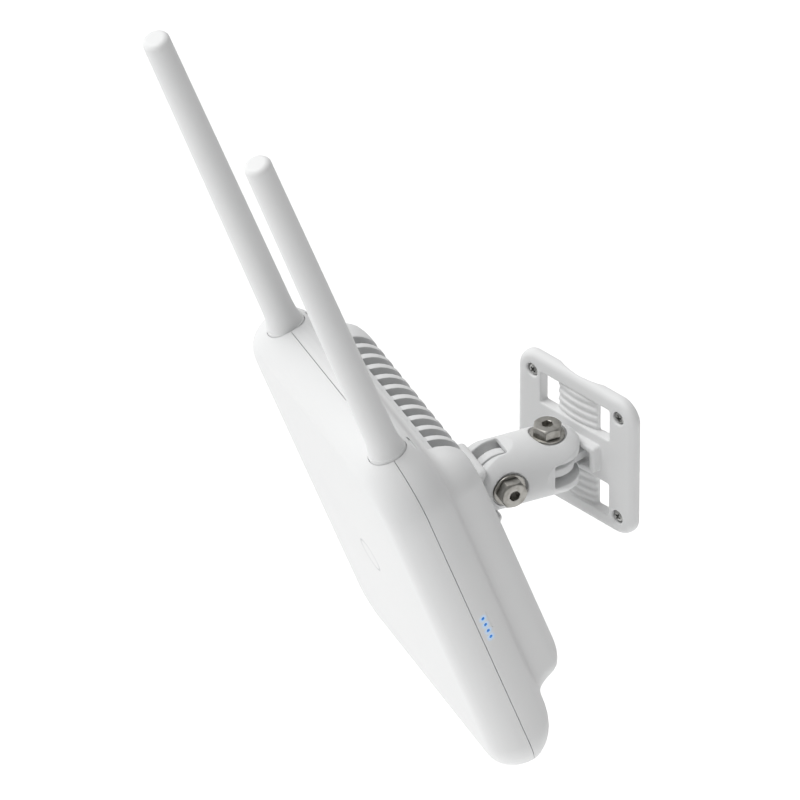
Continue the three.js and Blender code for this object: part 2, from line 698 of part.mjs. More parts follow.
function addPanelGroup(panel) {
  addMesh(panel, "front_cover", frontCover(), COLOUR.plastic);
  addMesh(panel, "rear_housing", rearHousing(), COLOUR.casting);
  addMesh(panel, "cover_gasket", coverGasket(), COLOUR.rubber);
  addBoards(panel);
  addMesh(panel, "ethernet_jack", ethernetJack(), COLOUR.tin);
  addMesh(panel, "port_bung", portBung(), COLOUR.rubber);
  addFittings(panel);
  addMesh(panel, "led_light_guide", ledLightGuide(), COLOUR.lens);
  addMesh(panel, "panel_bracket", panelBracket(), COLOUR.casting);
  const screw = crossScrew(SCREW.bracket);
  const places = [-BRACKET.screwAcross, BRACKET.screwAcross].flatMap((x) =>
    BRACKET.screwRows.map((z) => [x, z]));
  places.forEach(([x, z], i) => {
    addMesh(panel, `bracket_screw_${i + 1}`, screw, COLOUR.steel).position.set(x, 0, z);
  });
  addAerial(panel, -1, "antenna_left");
  addAerial(panel, 1, "antenna_right");
  addMesh(panel, "coax_left", coaxLead(-1), COLOUR.rubber);
  addMesh(panel, "coax_right", coaxLead(1), COLOUR.rubber);
}

const bridge = new THREE.Group();
addWallGroup(bridge);

const arm = new THREE.Group();
arm.position.set(0, -ARM.panFromWall, 0);
arm.rotation.z = POSE.pan;
bridge.add(arm);
addMesh(arm, "arm_barrel", armBarrel(), COLOUR.casting);
addHardware(arm, "pan", [0, 0, 0], 0);
addHardware(arm, "tilt", [0, -ARM.length, 0], Math.PI / 2);

const tilting = new THREE.Group();
tilting.position.set(0, -ARM.length, 0);
tilting.rotation.x = POSE.tilt;
arm.add(tilting);

const panel = new THREE.Group();
panel.position.set(0, -PANEL.fromPivot, -PANEL.belowPivot);
tilting.add(panel);
addPanelGroup(panel);

export default bridge;
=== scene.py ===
"""Looks of the outdoor wireless bridge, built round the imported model.

Sizes are millimetres in the axes of the sub-assembly they belong to, and become metres where a
piece is placed.  Panel axes: x across the panel, y backwards from its seam, z along it.
"""

from __future__ import annotations

import json
import logging
import math
from dataclasses import dataclass
from enum import Enum
from typing import Callable, Iterable, Sequence

import bmesh
import bpy
from mathutils import Matrix, Vector


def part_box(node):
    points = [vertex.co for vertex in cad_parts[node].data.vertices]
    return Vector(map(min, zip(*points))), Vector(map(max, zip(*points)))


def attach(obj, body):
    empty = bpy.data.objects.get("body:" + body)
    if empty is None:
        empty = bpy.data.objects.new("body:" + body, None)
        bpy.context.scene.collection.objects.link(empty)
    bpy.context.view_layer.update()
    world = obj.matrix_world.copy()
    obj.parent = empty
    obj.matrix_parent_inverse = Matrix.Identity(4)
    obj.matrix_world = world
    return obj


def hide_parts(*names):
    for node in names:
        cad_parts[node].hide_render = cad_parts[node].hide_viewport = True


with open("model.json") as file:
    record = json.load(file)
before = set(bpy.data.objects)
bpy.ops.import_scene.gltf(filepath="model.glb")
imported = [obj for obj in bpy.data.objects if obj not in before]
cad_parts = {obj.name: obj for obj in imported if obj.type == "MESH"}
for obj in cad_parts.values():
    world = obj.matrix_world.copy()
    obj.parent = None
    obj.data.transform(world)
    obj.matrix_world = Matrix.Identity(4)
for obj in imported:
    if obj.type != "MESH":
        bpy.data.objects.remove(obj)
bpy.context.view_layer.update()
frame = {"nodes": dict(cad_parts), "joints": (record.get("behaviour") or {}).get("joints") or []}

MM = 0.001
FULL_TURN = math.tau
LOG = logging.getLogger("bridge")


# ------------------------------------------------------------------ places

def joint_named(name: str) -> dict:
    """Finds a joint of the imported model.

    Args:
        name: The joint's name in the record.

    Returns:
        The joint's record.
    """
    return next(joint for joint in frame["joints"] if joint["name"] == name)


def axes_at(x_axis: Sequence[float], z_axis: Sequence[float], origin: Sequence[float]) -> Matrix:
    """Makes the matrix of a set of axes.

    Args:
        x_axis: Direction of the axes' x in the object's frame.
        z_axis: Direction of the axes' z in the object's frame.
        origin: Their origin in metres.

    Returns:
        The matrix that takes metres in those axes into the object's frame.
    """
    x, z = Vector(x_axis).normalized(), Vector(z_axis).normalized()
    y = z.cross(x).normalized()
    matrix = Matrix((x, y, z)).transposed().to_4x4()
    matrix.translation = Vector(origin)
    return matrix


@dataclass(frozen=True)
class Places:
    """Where each set of axes stands at rest.

    Attributes:
        wall: The wall plate's axes, those of the object.
        arm: Axes on the pan bolt, with y along the arm towards the wall.
        tilt: The arm's axes moved to the tilt bolt.
        panel: The panel's axes, at its middle on the seam.
    """

    wall: Matrix
    arm: Matrix
    tilt: Matrix
    panel: Matrix

    @classmethod
    def from_joints(cls, seam_from_pivot: float, pivot_height: float) -> "Places":
        """Reads the places from the joints.

        Args:
            seam_from_pivot: Distance from the tilt bolt forward to the seam plane.
            pivot_height: Height of the tilt bolt above the panel's middle.

        Returns:
            The four sets of axes.
        """
        pan, tilt = joint_named("pan"), joint_named("tilt")
        along = joint_named("antenna_left_pull")["axis"]
        across = tilt["axis"]
        up = (0.0, 0.0, 1.0)
        shift = Matrix.Translation(Vector((0, -seam_from_pivot, -pivot_height)) * MM)
        return cls(
            wall=Matrix.Identity(4),
            arm=axes_at(across, up, pan["pos_m"]),
            tilt=axes_at(across, up, tilt["pos_m"]),
            panel=axes_at(across, along, tilt["pos_m"]) @ shift,
        )


PLACES = Places.from_joints(seam_from_pivot=53.7, pivot_height=3.4)


class Body(Enum):
    """The moving bodies that a piece can ride on."""

    WALL = "wall_mount"
    ARM = "arm"
    PANEL = "radio_panel"
    ANTENNA_LEFT = "antenna_left"
    ANTENNA_RIGHT = "antenna_right"
    RESET = "reset_key"


class Axis(Enum):
    """An axis of a sub-assembly, with the turn that lays +Z along it."""

    X = Matrix.Rotation(math.radians(90), 4, "Y")
    Y = Matrix.Rotation(math.radians(-90), 4, "X")
    Z = Matrix.Identity(4)


# ------------------------------------------------------------------ shader wiring

class Wire:
    """A value socket that takes part in Python arithmetic by adding Math nodes."""

    def __init__(self, bench: "Bench", socket: bpy.types.NodeSocket) -> None:
        """Wraps a socket of the bench's tree."""
        self.bench = bench
        self.socket = socket

    def _math(self, operation: str, *values: "Wire | float") -> "Wire":
        """Adds one Math node.

        Args:
            operation: The node's operation.
            values: Its inputs, wires or plain numbers.

        Returns:
            The node's result.
        """
        inputs = {index: value for index, value in enumerate(values)}
        return self.bench.node("ShaderNodeMath", {"operation": operation}, inputs)

    def __add__(self, other: "Wire | float") -> "Wire":
        """Adds."""
        return self._math("ADD", self, other)

    __radd__ = __add__

    def __sub__(self, other: "Wire | float") -> "Wire":
        """Subtracts."""
        return self._math("SUBTRACT", self, other)

    def __mul__(self, other: "Wire | float") -> "Wire":
        """Multiplies."""
        return self._math("MULTIPLY", self, other)

    def least(self, other: "Wire | float") -> "Wire":
        """Takes the smaller value."""
        return self._math("MINIMUM", self, other)

    def most(self, other: "Wire | float") -> "Wire":
        """Takes the larger value."""
        return self._math("MAXIMUM", self, other)

    def size(self) -> "Wire":
        """Drops the sign."""
        return self._math("ABSOLUTE", self)

    def sine(self) -> "Wire":
        """Takes the sine."""
        return self._math("SINE", self)

    def fade(self, start: float, end: float) -> "Wire":
        """Makes a smooth step.

        Args:
            start: The value that gives 0.
            end: The value that gives 1, which may be below start.

        Returns:
            The step's value, from 0 to 1.
        """
        settings = {"interpolation_type": "SMOOTHSTEP"}
        inputs = {"Value": self, "From Min": start, "From Max": end, "To Min": 0.0, "To Max": 1.0}
        return self.bench.node("ShaderNodeMapRange", settings, inputs)


Input = "Wire | float | Sequence[float]"


class Bench:
    """One material's node tree, with the object's coordinates ready."""

    def __init__(self, name: str) -> None:
        """Starts an empty material of that name."""
        self.material = bpy.data.materials.new(name)
        self.material.use_nodes = True
        self.tree = self.material.node_tree
        self.tree.nodes.clear()
        self.place = self.node("ShaderNodeTexCoord", output="Object")

    def node(self, kind: str, settings: dict | None = None, inputs: dict | None = None,
             output: str | int = 0) -> Wire:
        """Adds a node.

        Args:
            kind: The node's type.
            settings: Its properties, set first.
            inputs: Values or wires for its sockets, by name or number.
            output: Which output to give back.

        Returns:
            The chosen output.
        """
        made = self.tree.nodes.new(kind)
        for key, value in (settings or {}).items():
            if key == "stops":
                self._set_stops(made, value)
            else:
                setattr(made, key, value)
        for key, value in (inputs or {}).items():
            socket = made.inputs[key]
            if isinstance(value, Wire):
                self.tree.links.new(value.socket, socket)
            else:
                socket.default_value = value
        return Wire(self, made.outputs[output])

    @staticmethod
    def _set_stops(ramp: bpy.types.ShaderNode, stops: Sequence[tuple[float, Sequence[float]]]) -> None:
        """Sets a colour ramp's stops.

        Args:
            ramp: The ramp node.
            stops: Pairs of position and colour.
        """
        elements = ramp.color_ramp.elements
        for (position, colour), element in zip(stops, elements):
            element.position, element.color = position, (*colour, 1.0)

    def noise(self, scale: float, detail: float = 2.0, roughness: float = 0.5) -> Wire:
        """Makes noise over the piece.

        Args:
            scale: Features per metre.
            detail: Octaves.
            roughness: How strong the fine octaves are.

        Returns:
            The noise, about 0.5 on average.
        """
        inputs = {"Vector": self.place, "Scale": scale, "Detail": detail, "Roughness": roughness}
        return self.node("ShaderNodeTexNoise", {}, inputs, "Fac")

    def blend(self, first: Sequence[float] | Wire, second: Sequence[float] | Wire, share: Wire) -> Wire:
        """Mixes two colours.

        Args:
            first: The colour where share is 0.
            second: The colour where share is 1.
            share: The mask.

        Returns:
            The mixed colour.
        """
        first, second = (self._rgba(colour) for colour in (first, second))
        inputs = {"Factor": share, 6: first, 7: second}
        return self.node("ShaderNodeMix", {"data_type": "RGBA"}, inputs, 2)

    @staticmethod
    def _rgba(colour: Sequence[float] | Wire) -> Sequence[float] | Wire:
        """Adds alpha to a plain colour."""
        return colour if isinstance(colour, Wire) else (*colour[:3], 1.0)

    def dot(self, vector: Wire, axis: Sequence[float]) -> Wire:
        """Takes a vector's length along an axis."""
        return self.node("ShaderNodeVectorMath", {"operation": "DOT_PRODUCT"},
                         {0: vector, 1: tuple(axis)}, "Value")

    def along(self, axis: Sequence[float], origin: Sequence[float]) -> Wire:
        """Measures along an axis from an origin, in metres."""
        away = self.node("ShaderNodeVectorMath", {"operation": "SUBTRACT"},
                         {0: self.place, 1: tuple(origin)}, "Vector")
        return self.dot(away, axis)

    def distance(self, point: Sequence[float]) -> Wire:
        """Measures how far the surface is from a point, in metres."""
        return self.node("ShaderNodeVectorMath", {"operation": "DISTANCE"},
                         {0: self.place, 1: tuple(point)}, "Value")

    def bump(self, height: Wire, depth: float, strength: float = 1.0) -> Wire:
        """Turns a height into a normal.

        Args:
            height: The height, 0 to 1.
            depth: Metres that a height of 1 stands for.
            strength: How much of it shows.

        Returns:
            The normal.
        """
        return self.node("ShaderNodeBump", {}, {"Height": height, "Distance": depth, "Strength": strength})

    def surface(self, **inputs: Input) -> bpy.types.Material:
        """Ends the tree in a Principled shader.

        Args:
            inputs: Its sockets, with underscores for the spaces in their names.

        Returns:
            The finished material.
        """
        named = {key.replace("_", " "): self._socket_value(value) for key, value in inputs.items()}
        shader = self.node("ShaderNodeBsdfPrincipled", {}, named, "BSDF")
        self.node_output(shader)
        return self.material

    @staticmethod
    def _socket_value(value: Input) -> Input:
        """Makes a plain colour four numbers long."""
        is_colour = isinstance(value, (tuple, list)) and len(value) == 3
        return (*value, 1.0) if is_colour else value

    def node_output(self, shader: Wire) -> None:
        """Joins a shader to the material's output."""
        output = self.tree.nodes.new("ShaderNodeOutputMaterial")
        self.tree.links.new(shader.socket, output.inputs["Surface"])


# ------------------------------------------------------------------ finishes

Colour = tuple[float, float, float]


@dataclass(frozen=True)
class MouldedPlastic:
    """White UV-stable plastic with a fine spark-eroded texture.

    Attributes:
        name: The material's name.
        colour: Its main colour.
        shade: The slightly duller colour it drifts towards.
        roughness: Its mean roughness.
        grain: Depth of the moulded texture in metres.
    """

    name: str = "moulded_white"
    colour: Colour = (0.775, 0.779, 0.778)
    shade: Colour = (0.742, 0.748, 0.750)
    roughness: float = 0.46
    grain: float = 0.00003

    def build(self) -> bpy.types.Material:
        """Builds the material."""
        bench = Bench(self.name)
        drift = bench.noise(9.0, 3.0).fade(0.35, 0.75)
        grain = bench.noise(2600.0, 3.0, 0.6)
        mottle = bench.noise(420.0, 2.0)
        colour = bench.blend(self.colour, self.shade, drift * 0.6 + mottle * 0.2)
        roughness = self.roughness + (mottle - 0.5) * 0.10 + (grain - 0.5) * 0.08
        colour, roughness = self._printed(bench, colour, roughness)
        return bench.surface(
            Base_Color=colour,
            Roughness=roughness,
            Normal=bench.bump(grain * 0.75 + mottle * 0.25, self.grain, 0.5),
            IOR=1.49,
        )

    def _printed(self, bench: Bench, colour: Wire, roughness: Wire) -> tuple[Wire, Wire]:
        """Prints on the plastic, which is left plain here.

        Args:
            bench: The material's bench.
            colour: The plastic's colour.
            roughness: The plastic's roughness.

        Returns:
            The two as they are.
        """
        return colour, roughness


@dataclass(frozen=True)
class MarkedPlastic(MouldedPlastic):
    """The same plastic with a plain ring printed on it.

    Attributes:
        centre: The ring's middle, in metres.
        radius: Its mean radius in metres.
        width: Its line width in metres.
        ink: The printed colour.
    """

    name: str = "moulded_white_marked"
    centre: tuple[float, float, float] = (0.0, 0.0, 0.0)
    radius: float = 0.0085
    width: float = 0.0011
    ink: Colour = (0.46, 0.47, 0.48)

    def _printed(self, bench: Bench, colour: Wire, roughness: Wire) -> tuple[Wire, Wire]:
        """Prints the ring.

        Args:
            bench: The material's bench.
            colour: The plastic's colour.
            roughness: The plastic's roughness.

        Returns:
            The colour and the roughness with the ring on them.
        """
        away = bench.distance(self.centre)
        edge, line = self.width * 0.62, self.width * 0.38
        inner = away.fade(self.radius - edge, self.radius - line)
        ring = inner * away.fade(self.radius + edge, self.radius + line)
        return bench.blend(colour, self.ink, ring), roughness - ring * 0.12


@dataclass(frozen=True)
class PaintedFinShade:
    """Painted shade on the walls and the floor between the cooling fins: a darker colour where the gaps
    get less light.

    Attributes:
        half_span: Half the width of the finned field, in metres.
        floor: Depth of the gaps' floor, in metres.
        crest: Depth of the fins' crests, in metres.
        colour: The painted shade's colour.
        strength: How far the painted shade darkens the paint.
    """

    half_span: float = 0.0496
    floor: float = 0.0224
    crest: float = 0.0352
    colour: Colour = (0.34, 0.35, 0.355)
    strength: float = 0.3

    def mask(self, bench: Bench) -> Wire:
        """Makes the mask of the faces that get the painted shade.

        Args:
            bench: The material's bench.

        Returns:
            A mask that is 1 on the gaps' walls and floor.
        """
        across, back = PLACES.panel.col[0].xyz, PLACES.panel.col[1].xyz
        middle = PLACES.panel.translation
        side = bench.along(across, middle).size()
        depth = bench.along(back, middle)
        facing = bench.node("ShaderNodeNewGeometry", output="True Normal")
        turned = bench.dot(facing, across).size().fade(0.75, 0.95)
        walls = turned * depth.fade(self.crest, self.crest - 0.004)
        ground = depth.fade(self.floor + 0.0006, self.floor)
        within = side.fade(self.half_span + 0.0004, self.half_span) * depth.fade(0.0190, 0.0205)
        return within * walls.most(ground)


@dataclass(frozen=True)
class PowderCoat:
    """Off-white powder coat on a casting, with a fine orange peel.

    Attributes:
        name: The material's name.
        colour: Its main colour.
        shade: The duller colour in its drift.
        roughness: Its mean roughness.
        peel: Depth of the orange peel in metres.
        glows: Points in metres that light the paint round them.
        glow_reach: How far each point's light reaches, in metres.
        glow_colour: The light's colour.
    """

    name: str = "powder_coat"
    colour: Colour = (0.80, 0.803, 0.802)
    shade: Colour = (0.765, 0.772, 0.775)
    roughness: float = 0.5
    peel: float = 0.00005
    glows: tuple[tuple[float, float, float], ...] = ()
    glow_reach: float = 0.0030
    glow_colour: Colour = (0.30, 0.60, 1.0)
    # Painted shade that darkens the paint in the gaps between the cooling fins, when given.
    fins: "PaintedFinShade | None" = None

    def build(self) -> bpy.types.Material:
        """Builds the material."""
        bench = Bench(self.name)
        drift = bench.noise(14.0, 3.0).fade(0.35, 0.75)
        peel = bench.noise(1500.0, 2.0, 0.45)
        speck = bench.noise(4200.0, 2.0, 0.6)
        paint = bench.blend(self.colour, self.shade, drift * 0.7 + speck * 0.15)
        if self.fins:
            # Painted shade: the paint is darkened on the gap walls and floors between the fins, where less
            # light reaches.
            paint = bench.blend(paint, self.fins.colour, self.fins.mask(bench) * self.fins.strength)
        lit: dict[str, Input] = {}
        if self.glows:
            halo = self._halo(bench)
            paint = bench.blend(paint, self.glow_colour, halo * 0.55)
            lit = {"Emission_Color": bench.blend((0.0, 0.0, 0.0), self.glow_colour, halo),
                   "Emission_Strength": 0.35}
        return bench.surface(
            Base_Color=paint,
            Roughness=self.roughness + (peel - 0.5) * 0.12 + (speck - 0.5) * 0.06,
            Normal=bench.bump(peel * 0.7 + speck * 0.3, self.peel, 0.45),
            **lit,
        )

    def _halo(self, bench: Bench) -> Wire:
        """Makes the soft light round every point.

        Args:
            bench: The material's bench.

        Returns:
            A mask that is 1 at a point and 0 at its reach.
        """
        nearest = bench.distance(self.glows[0])
        for point in self.glows[1:]:
            nearest = nearest.least(bench.distance(point))
        return nearest.fade(self.glow_reach, 0.0)


@dataclass(frozen=True)
class Metal:
    """A machined or plated metal with fine turning marks.

    Attributes:
        name: The material's name.
        colour: Its colour.
        tarnish: The darker colour in its blotches.
        roughness: Its mean roughness.
        marks: Depth of the marks in metres.
        mark_scale: Marks per metre.
    """

    name: str
    colour: Colour
    tarnish: Colour
    roughness: float = 0.34
    marks: float = 0.00002
    mark_scale: float = 1800.0

    def build(self) -> bpy.types.Material:
        """Builds the material."""
        bench = Bench(self.name)
        blotch = bench.noise(260.0, 4.0, 0.6).fade(0.4, 0.72)
        marks = bench.noise(self.mark_scale, 3.0, 0.65)
        return bench.surface(
            Base_Color=bench.blend(self.colour, self.tarnish, blotch),
            Metallic=1.0,
            Roughness=self.roughness + blotch * 0.12 + (marks - 0.5) * 0.18,
            Normal=bench.bump(marks, self.marks, 0.6),
        )


@dataclass(frozen=True)
class Rubber:
    """Matt silicone rubber or a soft pad.

    Attributes:
        name: The material's name.
        colour: Its colour.
        bloom: The paler colour that dusts it.
        roughness: Its mean roughness.
    """

    name: str
    colour: Colour
    bloom: Colour
    roughness: float = 0.78

    def build(self) -> bpy.types.Material:
        """Builds the material."""
        bench = Bench(self.name)
        bloom = bench.noise(180.0, 4.0, 0.6).fade(0.45, 0.8)
        grain = bench.noise(3000.0, 2.0)
        return bench.surface(
            Base_Color=bench.blend(self.colour, self.bloom, bloom * 0.5),
            Roughness=self.roughness + (grain - 0.5) * 0.1,
            Normal=bench.bump(grain, 0.00003, 0.5),
        )


@dataclass(frozen=True)
class CircuitBoard:
    """Green solder mask with faint copper tracks under it.

    Attributes:
        name: The material's name.
        mask: The mask's colour over bare board.
        track: Its colour over copper.
        pitch: Distance between tracks in metres.
    """

    name: str = "solder_mask"
    mask: Colour = (0.012, 0.085, 0.035)
    track: Colour = (0.03, 0.16, 0.06)
    pitch: float = 0.0012

    def build(self) -> bpy.types.Material:
        """Builds the material."""
        bench = Bench(self.name)
        parts = bench.node("ShaderNodeSeparateXYZ", {}, {"Vector": bench.place}, "X")
        wander = bench.noise(60.0, 1.0) * 6.0
        tracks = (parts * (FULL_TURN / self.pitch) + wander).sine().fade(0.1, 0.5)
        weave = bench.noise(1600.0, 2.0)
        return bench.surface(
            Base_Color=bench.blend(self.mask, self.track, tracks),
            Roughness=0.32 + weave * 0.14,
            Normal=bench.bump(tracks * 0.6 + weave * 0.4, 0.00003, 0.6),
            Coat_Weight=0.4,
        )


@dataclass(frozen=True)
class LitLens:
    """Clear light guide lit from behind.

    Attributes:
        name: The material's name.
        colour: The light's colour.
        core: The paler colour in its middle.
        strength: How bright it is.
    """

    name: str = "lit_lens"
    colour: Colour = (0.012, 0.13, 0.42)
    core: Colour = (0.03, 0.22, 0.62)
    strength: float = 0.45

    def build(self) -> bpy.types.Material:
        """Builds the material."""
        bench = Bench(self.name)
        cloud = bench.noise(1400.0, 2.0).fade(0.3, 0.7)
        return bench.surface(
            Base_Color=bench.blend(self.colour, self.core, cloud),
            Emission_Color=bench.blend(self.colour, self.core, cloud),
            Emission_Strength=self.strength,
            Roughness=0.22 + cloud * 0.1,
        )


# ------------------------------------------------------------------ mesh building

Point = tuple[float, float]


class Pen:
    """Draws an outline in a plane by extruding and spinning its last point."""

    def __init__(self, form: "Form", x: float, y: float) -> None:
        """Starts at a point of the plane z = 0."""
        self.form = form
        self.first = form.bm.verts.new((x, y, 0.0))
        self.last = self.first

    def line(self, x: float, y: float) -> "Pen":
        """Draws a straight run to a point."""
        made = bmesh.ops.extrude_vert_indiv(self.form.bm, verts=[self.last])
        self.last = made["verts"][0]
        self.last.co = Vector((x, y, 0.0))
        return self

    def arc(self, centre: Point, degrees: float, steps: int) -> "Pen":
        """Draws an arc.

        Args:
            centre: The arc's centre.
            degrees: How far it turns, anticlockwise if positive.
            steps: Its straight pieces.

        Returns:
            The pen, at the arc's end.
        """
        made = bmesh.ops.spin(
            self.form.bm, geom=[self.last], cent=(*centre, 0.0), axis=(0, 0, 1),
            angle=math.radians(degrees), steps=steps)
        self.last = next(part for part in made["geom_last"] if isinstance(part, bmesh.types.BMVert))
        return self

    def face(self) -> bmesh.types.BMFace:
        """Closes the outline and fills it.

        Returns:
            The new face.
        """
        bm = self.form.bm
        bmesh.ops.remove_doubles(bm, verts=[self.first, self.last], dist=1e-4)
        edges = [edge for edge in bm.edges if not edge.link_faces and edge.is_wire]
        loose = [vert for vert in bm.verts if len(vert.link_edges) == 1]
        if len(loose) == 2:
            edges.append(bm.edges.new(loose))
        return bmesh.ops.contextual_create(bm, geom=edges)["faces"][0]


class Form:
    """A closed shape under construction, in millimetres."""

    def __init__(self) -> None:
        """Starts empty."""
        self.bm = bmesh.new()

    # -- whole shapes

    def block(self, low: Sequence[float], high: Sequence[float]) -> "Form":
        """Adds a box between two corners."""
        low, high = Vector(low), Vector(high)
        place = Matrix.Translation((low + high) / 2) @ Matrix.Diagonal((*(high - low), 1.0))
        bmesh.ops.create_cube(self.bm, size=1.0, matrix=place)
        return self

    def rod(self, axis: Axis, radius: float, low: float, high: float,
            at: Sequence[float] = (0, 0, 0), sides: int = 64, top: float | None = None) -> "Form":
        """Adds a cylinder or a cone.

        Args:
            axis: The axis it lies along.
            radius: Its radius at the low end.
            low: Where it starts along the axis.
            high: Where it ends.
            at: A point that its axis passes through.
            sides: How many sides it has.
            top: Its radius at the high end, if different.

        Returns:
            The form.
        """
        middle = Matrix.Translation((0, 0, (low + high) / 2))
        bmesh.ops.create_cone(
            self.bm, cap_ends=True, segments=sides, radius1=radius,
            radius2=radius if top is None else top, depth=high - low,
            matrix=Matrix.Translation(Vector(at)) @ axis.value @ middle)
        return self

    def plate(self, low: Point, high: Point, corners: Sequence[float], depth: tuple[float, float],
              segments: int = 10) -> "Form":
        """Adds a plate with rounded corners, lying in x and z and thick along y.

        Args:
            low: Lowest x and z.
            high: Highest x and z.
            corners: Radii of the two lower and the two upper corners.
            depth: Where it starts and ends along y.
            segments: Straight pieces in each corner.

        Returns:
            The form.
        """
        face = self.rounded_face(low, high, corners, depth[0], segments)
        self.thicken(face, Vector((0, depth[1] - depth[0], 0)))
        return self

    def turned(self, profile: Sequence[Point], sides: int = 64, axis: Axis = Axis.Z) -> "Form":
        """Adds a shape turned about an axis.

        Args:
            profile: Points of radius and height, from axis to axis.
            sides: Steps round the axis.
            axis: The axis that it is turned about.

        Returns:
            The form.
        """
        verts = [self.bm.verts.new((radius, 0.0, height)) for radius, height in profile]
        edges = [self.bm.edges.new(pair) for pair in zip(verts, verts[1:])]
        before = set(self.bm.verts) - set(verts)
        bmesh.ops.spin(self.bm, geom=[*verts, *edges], cent=(0, 0, 0), axis=(0, 0, 1),
                       angle=FULL_TURN, steps=sides, use_merge=True)
        made = [vert for vert in self.bm.verts if vert not in before]
        bmesh.ops.remove_doubles(self.bm, verts=made, dist=1e-4)
        made = [vert for vert in self.bm.verts if vert not in before]
        bmesh.ops.transform(self.bm, matrix=axis.value, verts=made)
        return self

    # -- steps

    def rounded_face(self, low: Point, high: Point, corners: Sequence[float], depth: float,
                     segments: int = 10) -> bmesh.types.BMFace:
        """Makes a flat face with rounded corners, in x and z at a depth.

        Args:
            low: Lowest x and z.
            high: Highest x and z.
            corners: Radii of the two lower and the two upper corners.
            depth: Its y.
            segments: Straight pieces in each corner.

        Returns:
            The face.
        """
        before = set(self.bm.faces)
        middle = Vector(((low[0] + high[0]) / 2, depth, (low[1] + high[1]) / 2))
        size = Matrix.Diagonal((high[0] - low[0], high[1] - low[1], 1.0, 1.0))
        stand = Matrix.Rotation(math.radians(90), 4, "X")
        made = bmesh.ops.create_grid(self.bm, x_segments=1, y_segments=1, size=0.5,
                                     matrix=Matrix.Translation(middle) @ stand @ size)
        halves = ([vert for vert in made["verts"] if vert.co.z < middle.z],
                  [vert for vert in made["verts"] if vert.co.z > middle.z])
        for radius, verts in zip(corners, halves):
            bmesh.ops.bevel(self.bm, geom=verts, offset=radius, offset_type="OFFSET",
                            segments=segments, profile=0.5, affect="VERTICES",
                            clamp_overlap=False, material=-1)
        return next(face for face in self.bm.faces if face not in before)

    def thicken(self, face: bmesh.types.BMFace, step: Vector) -> None:
        """Extrudes a face into a closed solid.

        Args:
            face: The face.
            step: How far and which way it goes.
        """
        kept = bmesh.ops.duplicate(self.bm, geom=[face])
        made = bmesh.ops.extrude_face_region(self.bm, geom=[face])
        moved = [part for part in made["geom"] if isinstance(part, bmesh.types.BMVert)]
        bmesh.ops.translate(self.bm, verts=moved, vec=step)
        lid = next(part for part in kept["geom"] if isinstance(part, bmesh.types.BMFace))
        bmesh.ops.delete(self.bm, geom=[lid], context="FACES")
        self.close()

    def close(self) -> "Form":
        """Merges doubles, fills open ends and turns the faces outwards."""
        bmesh.ops.remove_doubles(self.bm, verts=self.bm.verts, dist=1e-4)
        rims = [edge for edge in self.bm.edges if edge.is_boundary]
        if rims:
            bmesh.ops.holes_fill(self.bm, edges=rims)
        bmesh.ops.recalc_face_normals(self.bm, faces=self.bm.faces)
        return self

    def loft(self, faces: Sequence[bmesh.types.BMFace]) -> "Form":
        """Bridges a run of flat faces into one solid, keeping only the first and the last face.

        Args:
            faces: The faces, in order.

        Returns:
            The form.
        """
        loops = [list(face.edges) for face in faces]
        for low, high in zip(loops, loops[1:]):
            bmesh.ops.bridge_loops(self.bm, edges=low + high)
        bmesh.ops.delete(self.bm, geom=list(faces[1:-1]), context="FACES_ONLY")
        return self.close()

    def soften(self, width: float, segments: int = 3, angle: float = 30.0,
               chosen: Callable[[bmesh.types.BMEdge], bool] | None = None) -> "Form":
        """Rounds the sharp edges.

        Args:
            width: Width of the rounding.
            segments: Its steps.
            angle: Degrees above which an edge is sharp.
            chosen: Keeps only the edges for which it is true.

        Returns:
            The form.
        """
        limit = math.radians(angle)
        edges = [edge for edge in self.bm.edges if len(edge.link_faces) == 2
                 and edge.calc_face_angle(0.0) > limit and (chosen is None or chosen(edge))]
        if edges:
            bmesh.ops.bevel(self.bm, geom=edges, offset=width, offset_type="OFFSET",
                            segments=segments, profile=0.5, affect="EDGES",
                            clamp_overlap=True, material=-1)
        return self

    def shift(self, rule: Callable[[Vector], Vector]) -> "Form":
        """Moves every point by a rule."""
        for vert in self.bm.verts:
            vert.co = rule(vert.co)
        return self

    def turn(self, matrix: Matrix) -> "Form":
        """Turns or moves the whole form."""
        bmesh.ops.transform(self.bm, matrix=matrix, verts=self.bm.verts)
        return self

    def join(self, other: "Form") -> "Form":
        """Adds another form's shells beside this form's own."""
        mesh = other.mesh("joined")
        self.bm.from_mesh(mesh)
        bpy.data.meshes.remove(mesh)
        return self

    # -- results

    def mesh(self, name: str) -> bpy.types.Mesh:
        """Writes the form to a mesh.

        Args:
            name: The mesh's name.

        Returns:
            The mesh, in millimetres.
        """
        mesh = bpy.data.meshes.new(name)
        self.bm.to_mesh(mesh)
        return mesh

    @classmethod
    def from_mesh(cls, mesh: bpy.types.Mesh) -> "Form":
        """Reads a mesh into a new form."""
        form = cls()
        form.bm.from_mesh(mesh)
        return form


class Cut(Enum):
    """How one form acts on another."""

    AWAY = "DIFFERENCE"
    JOIN = "UNION"
    KEEP = "INTERSECT"


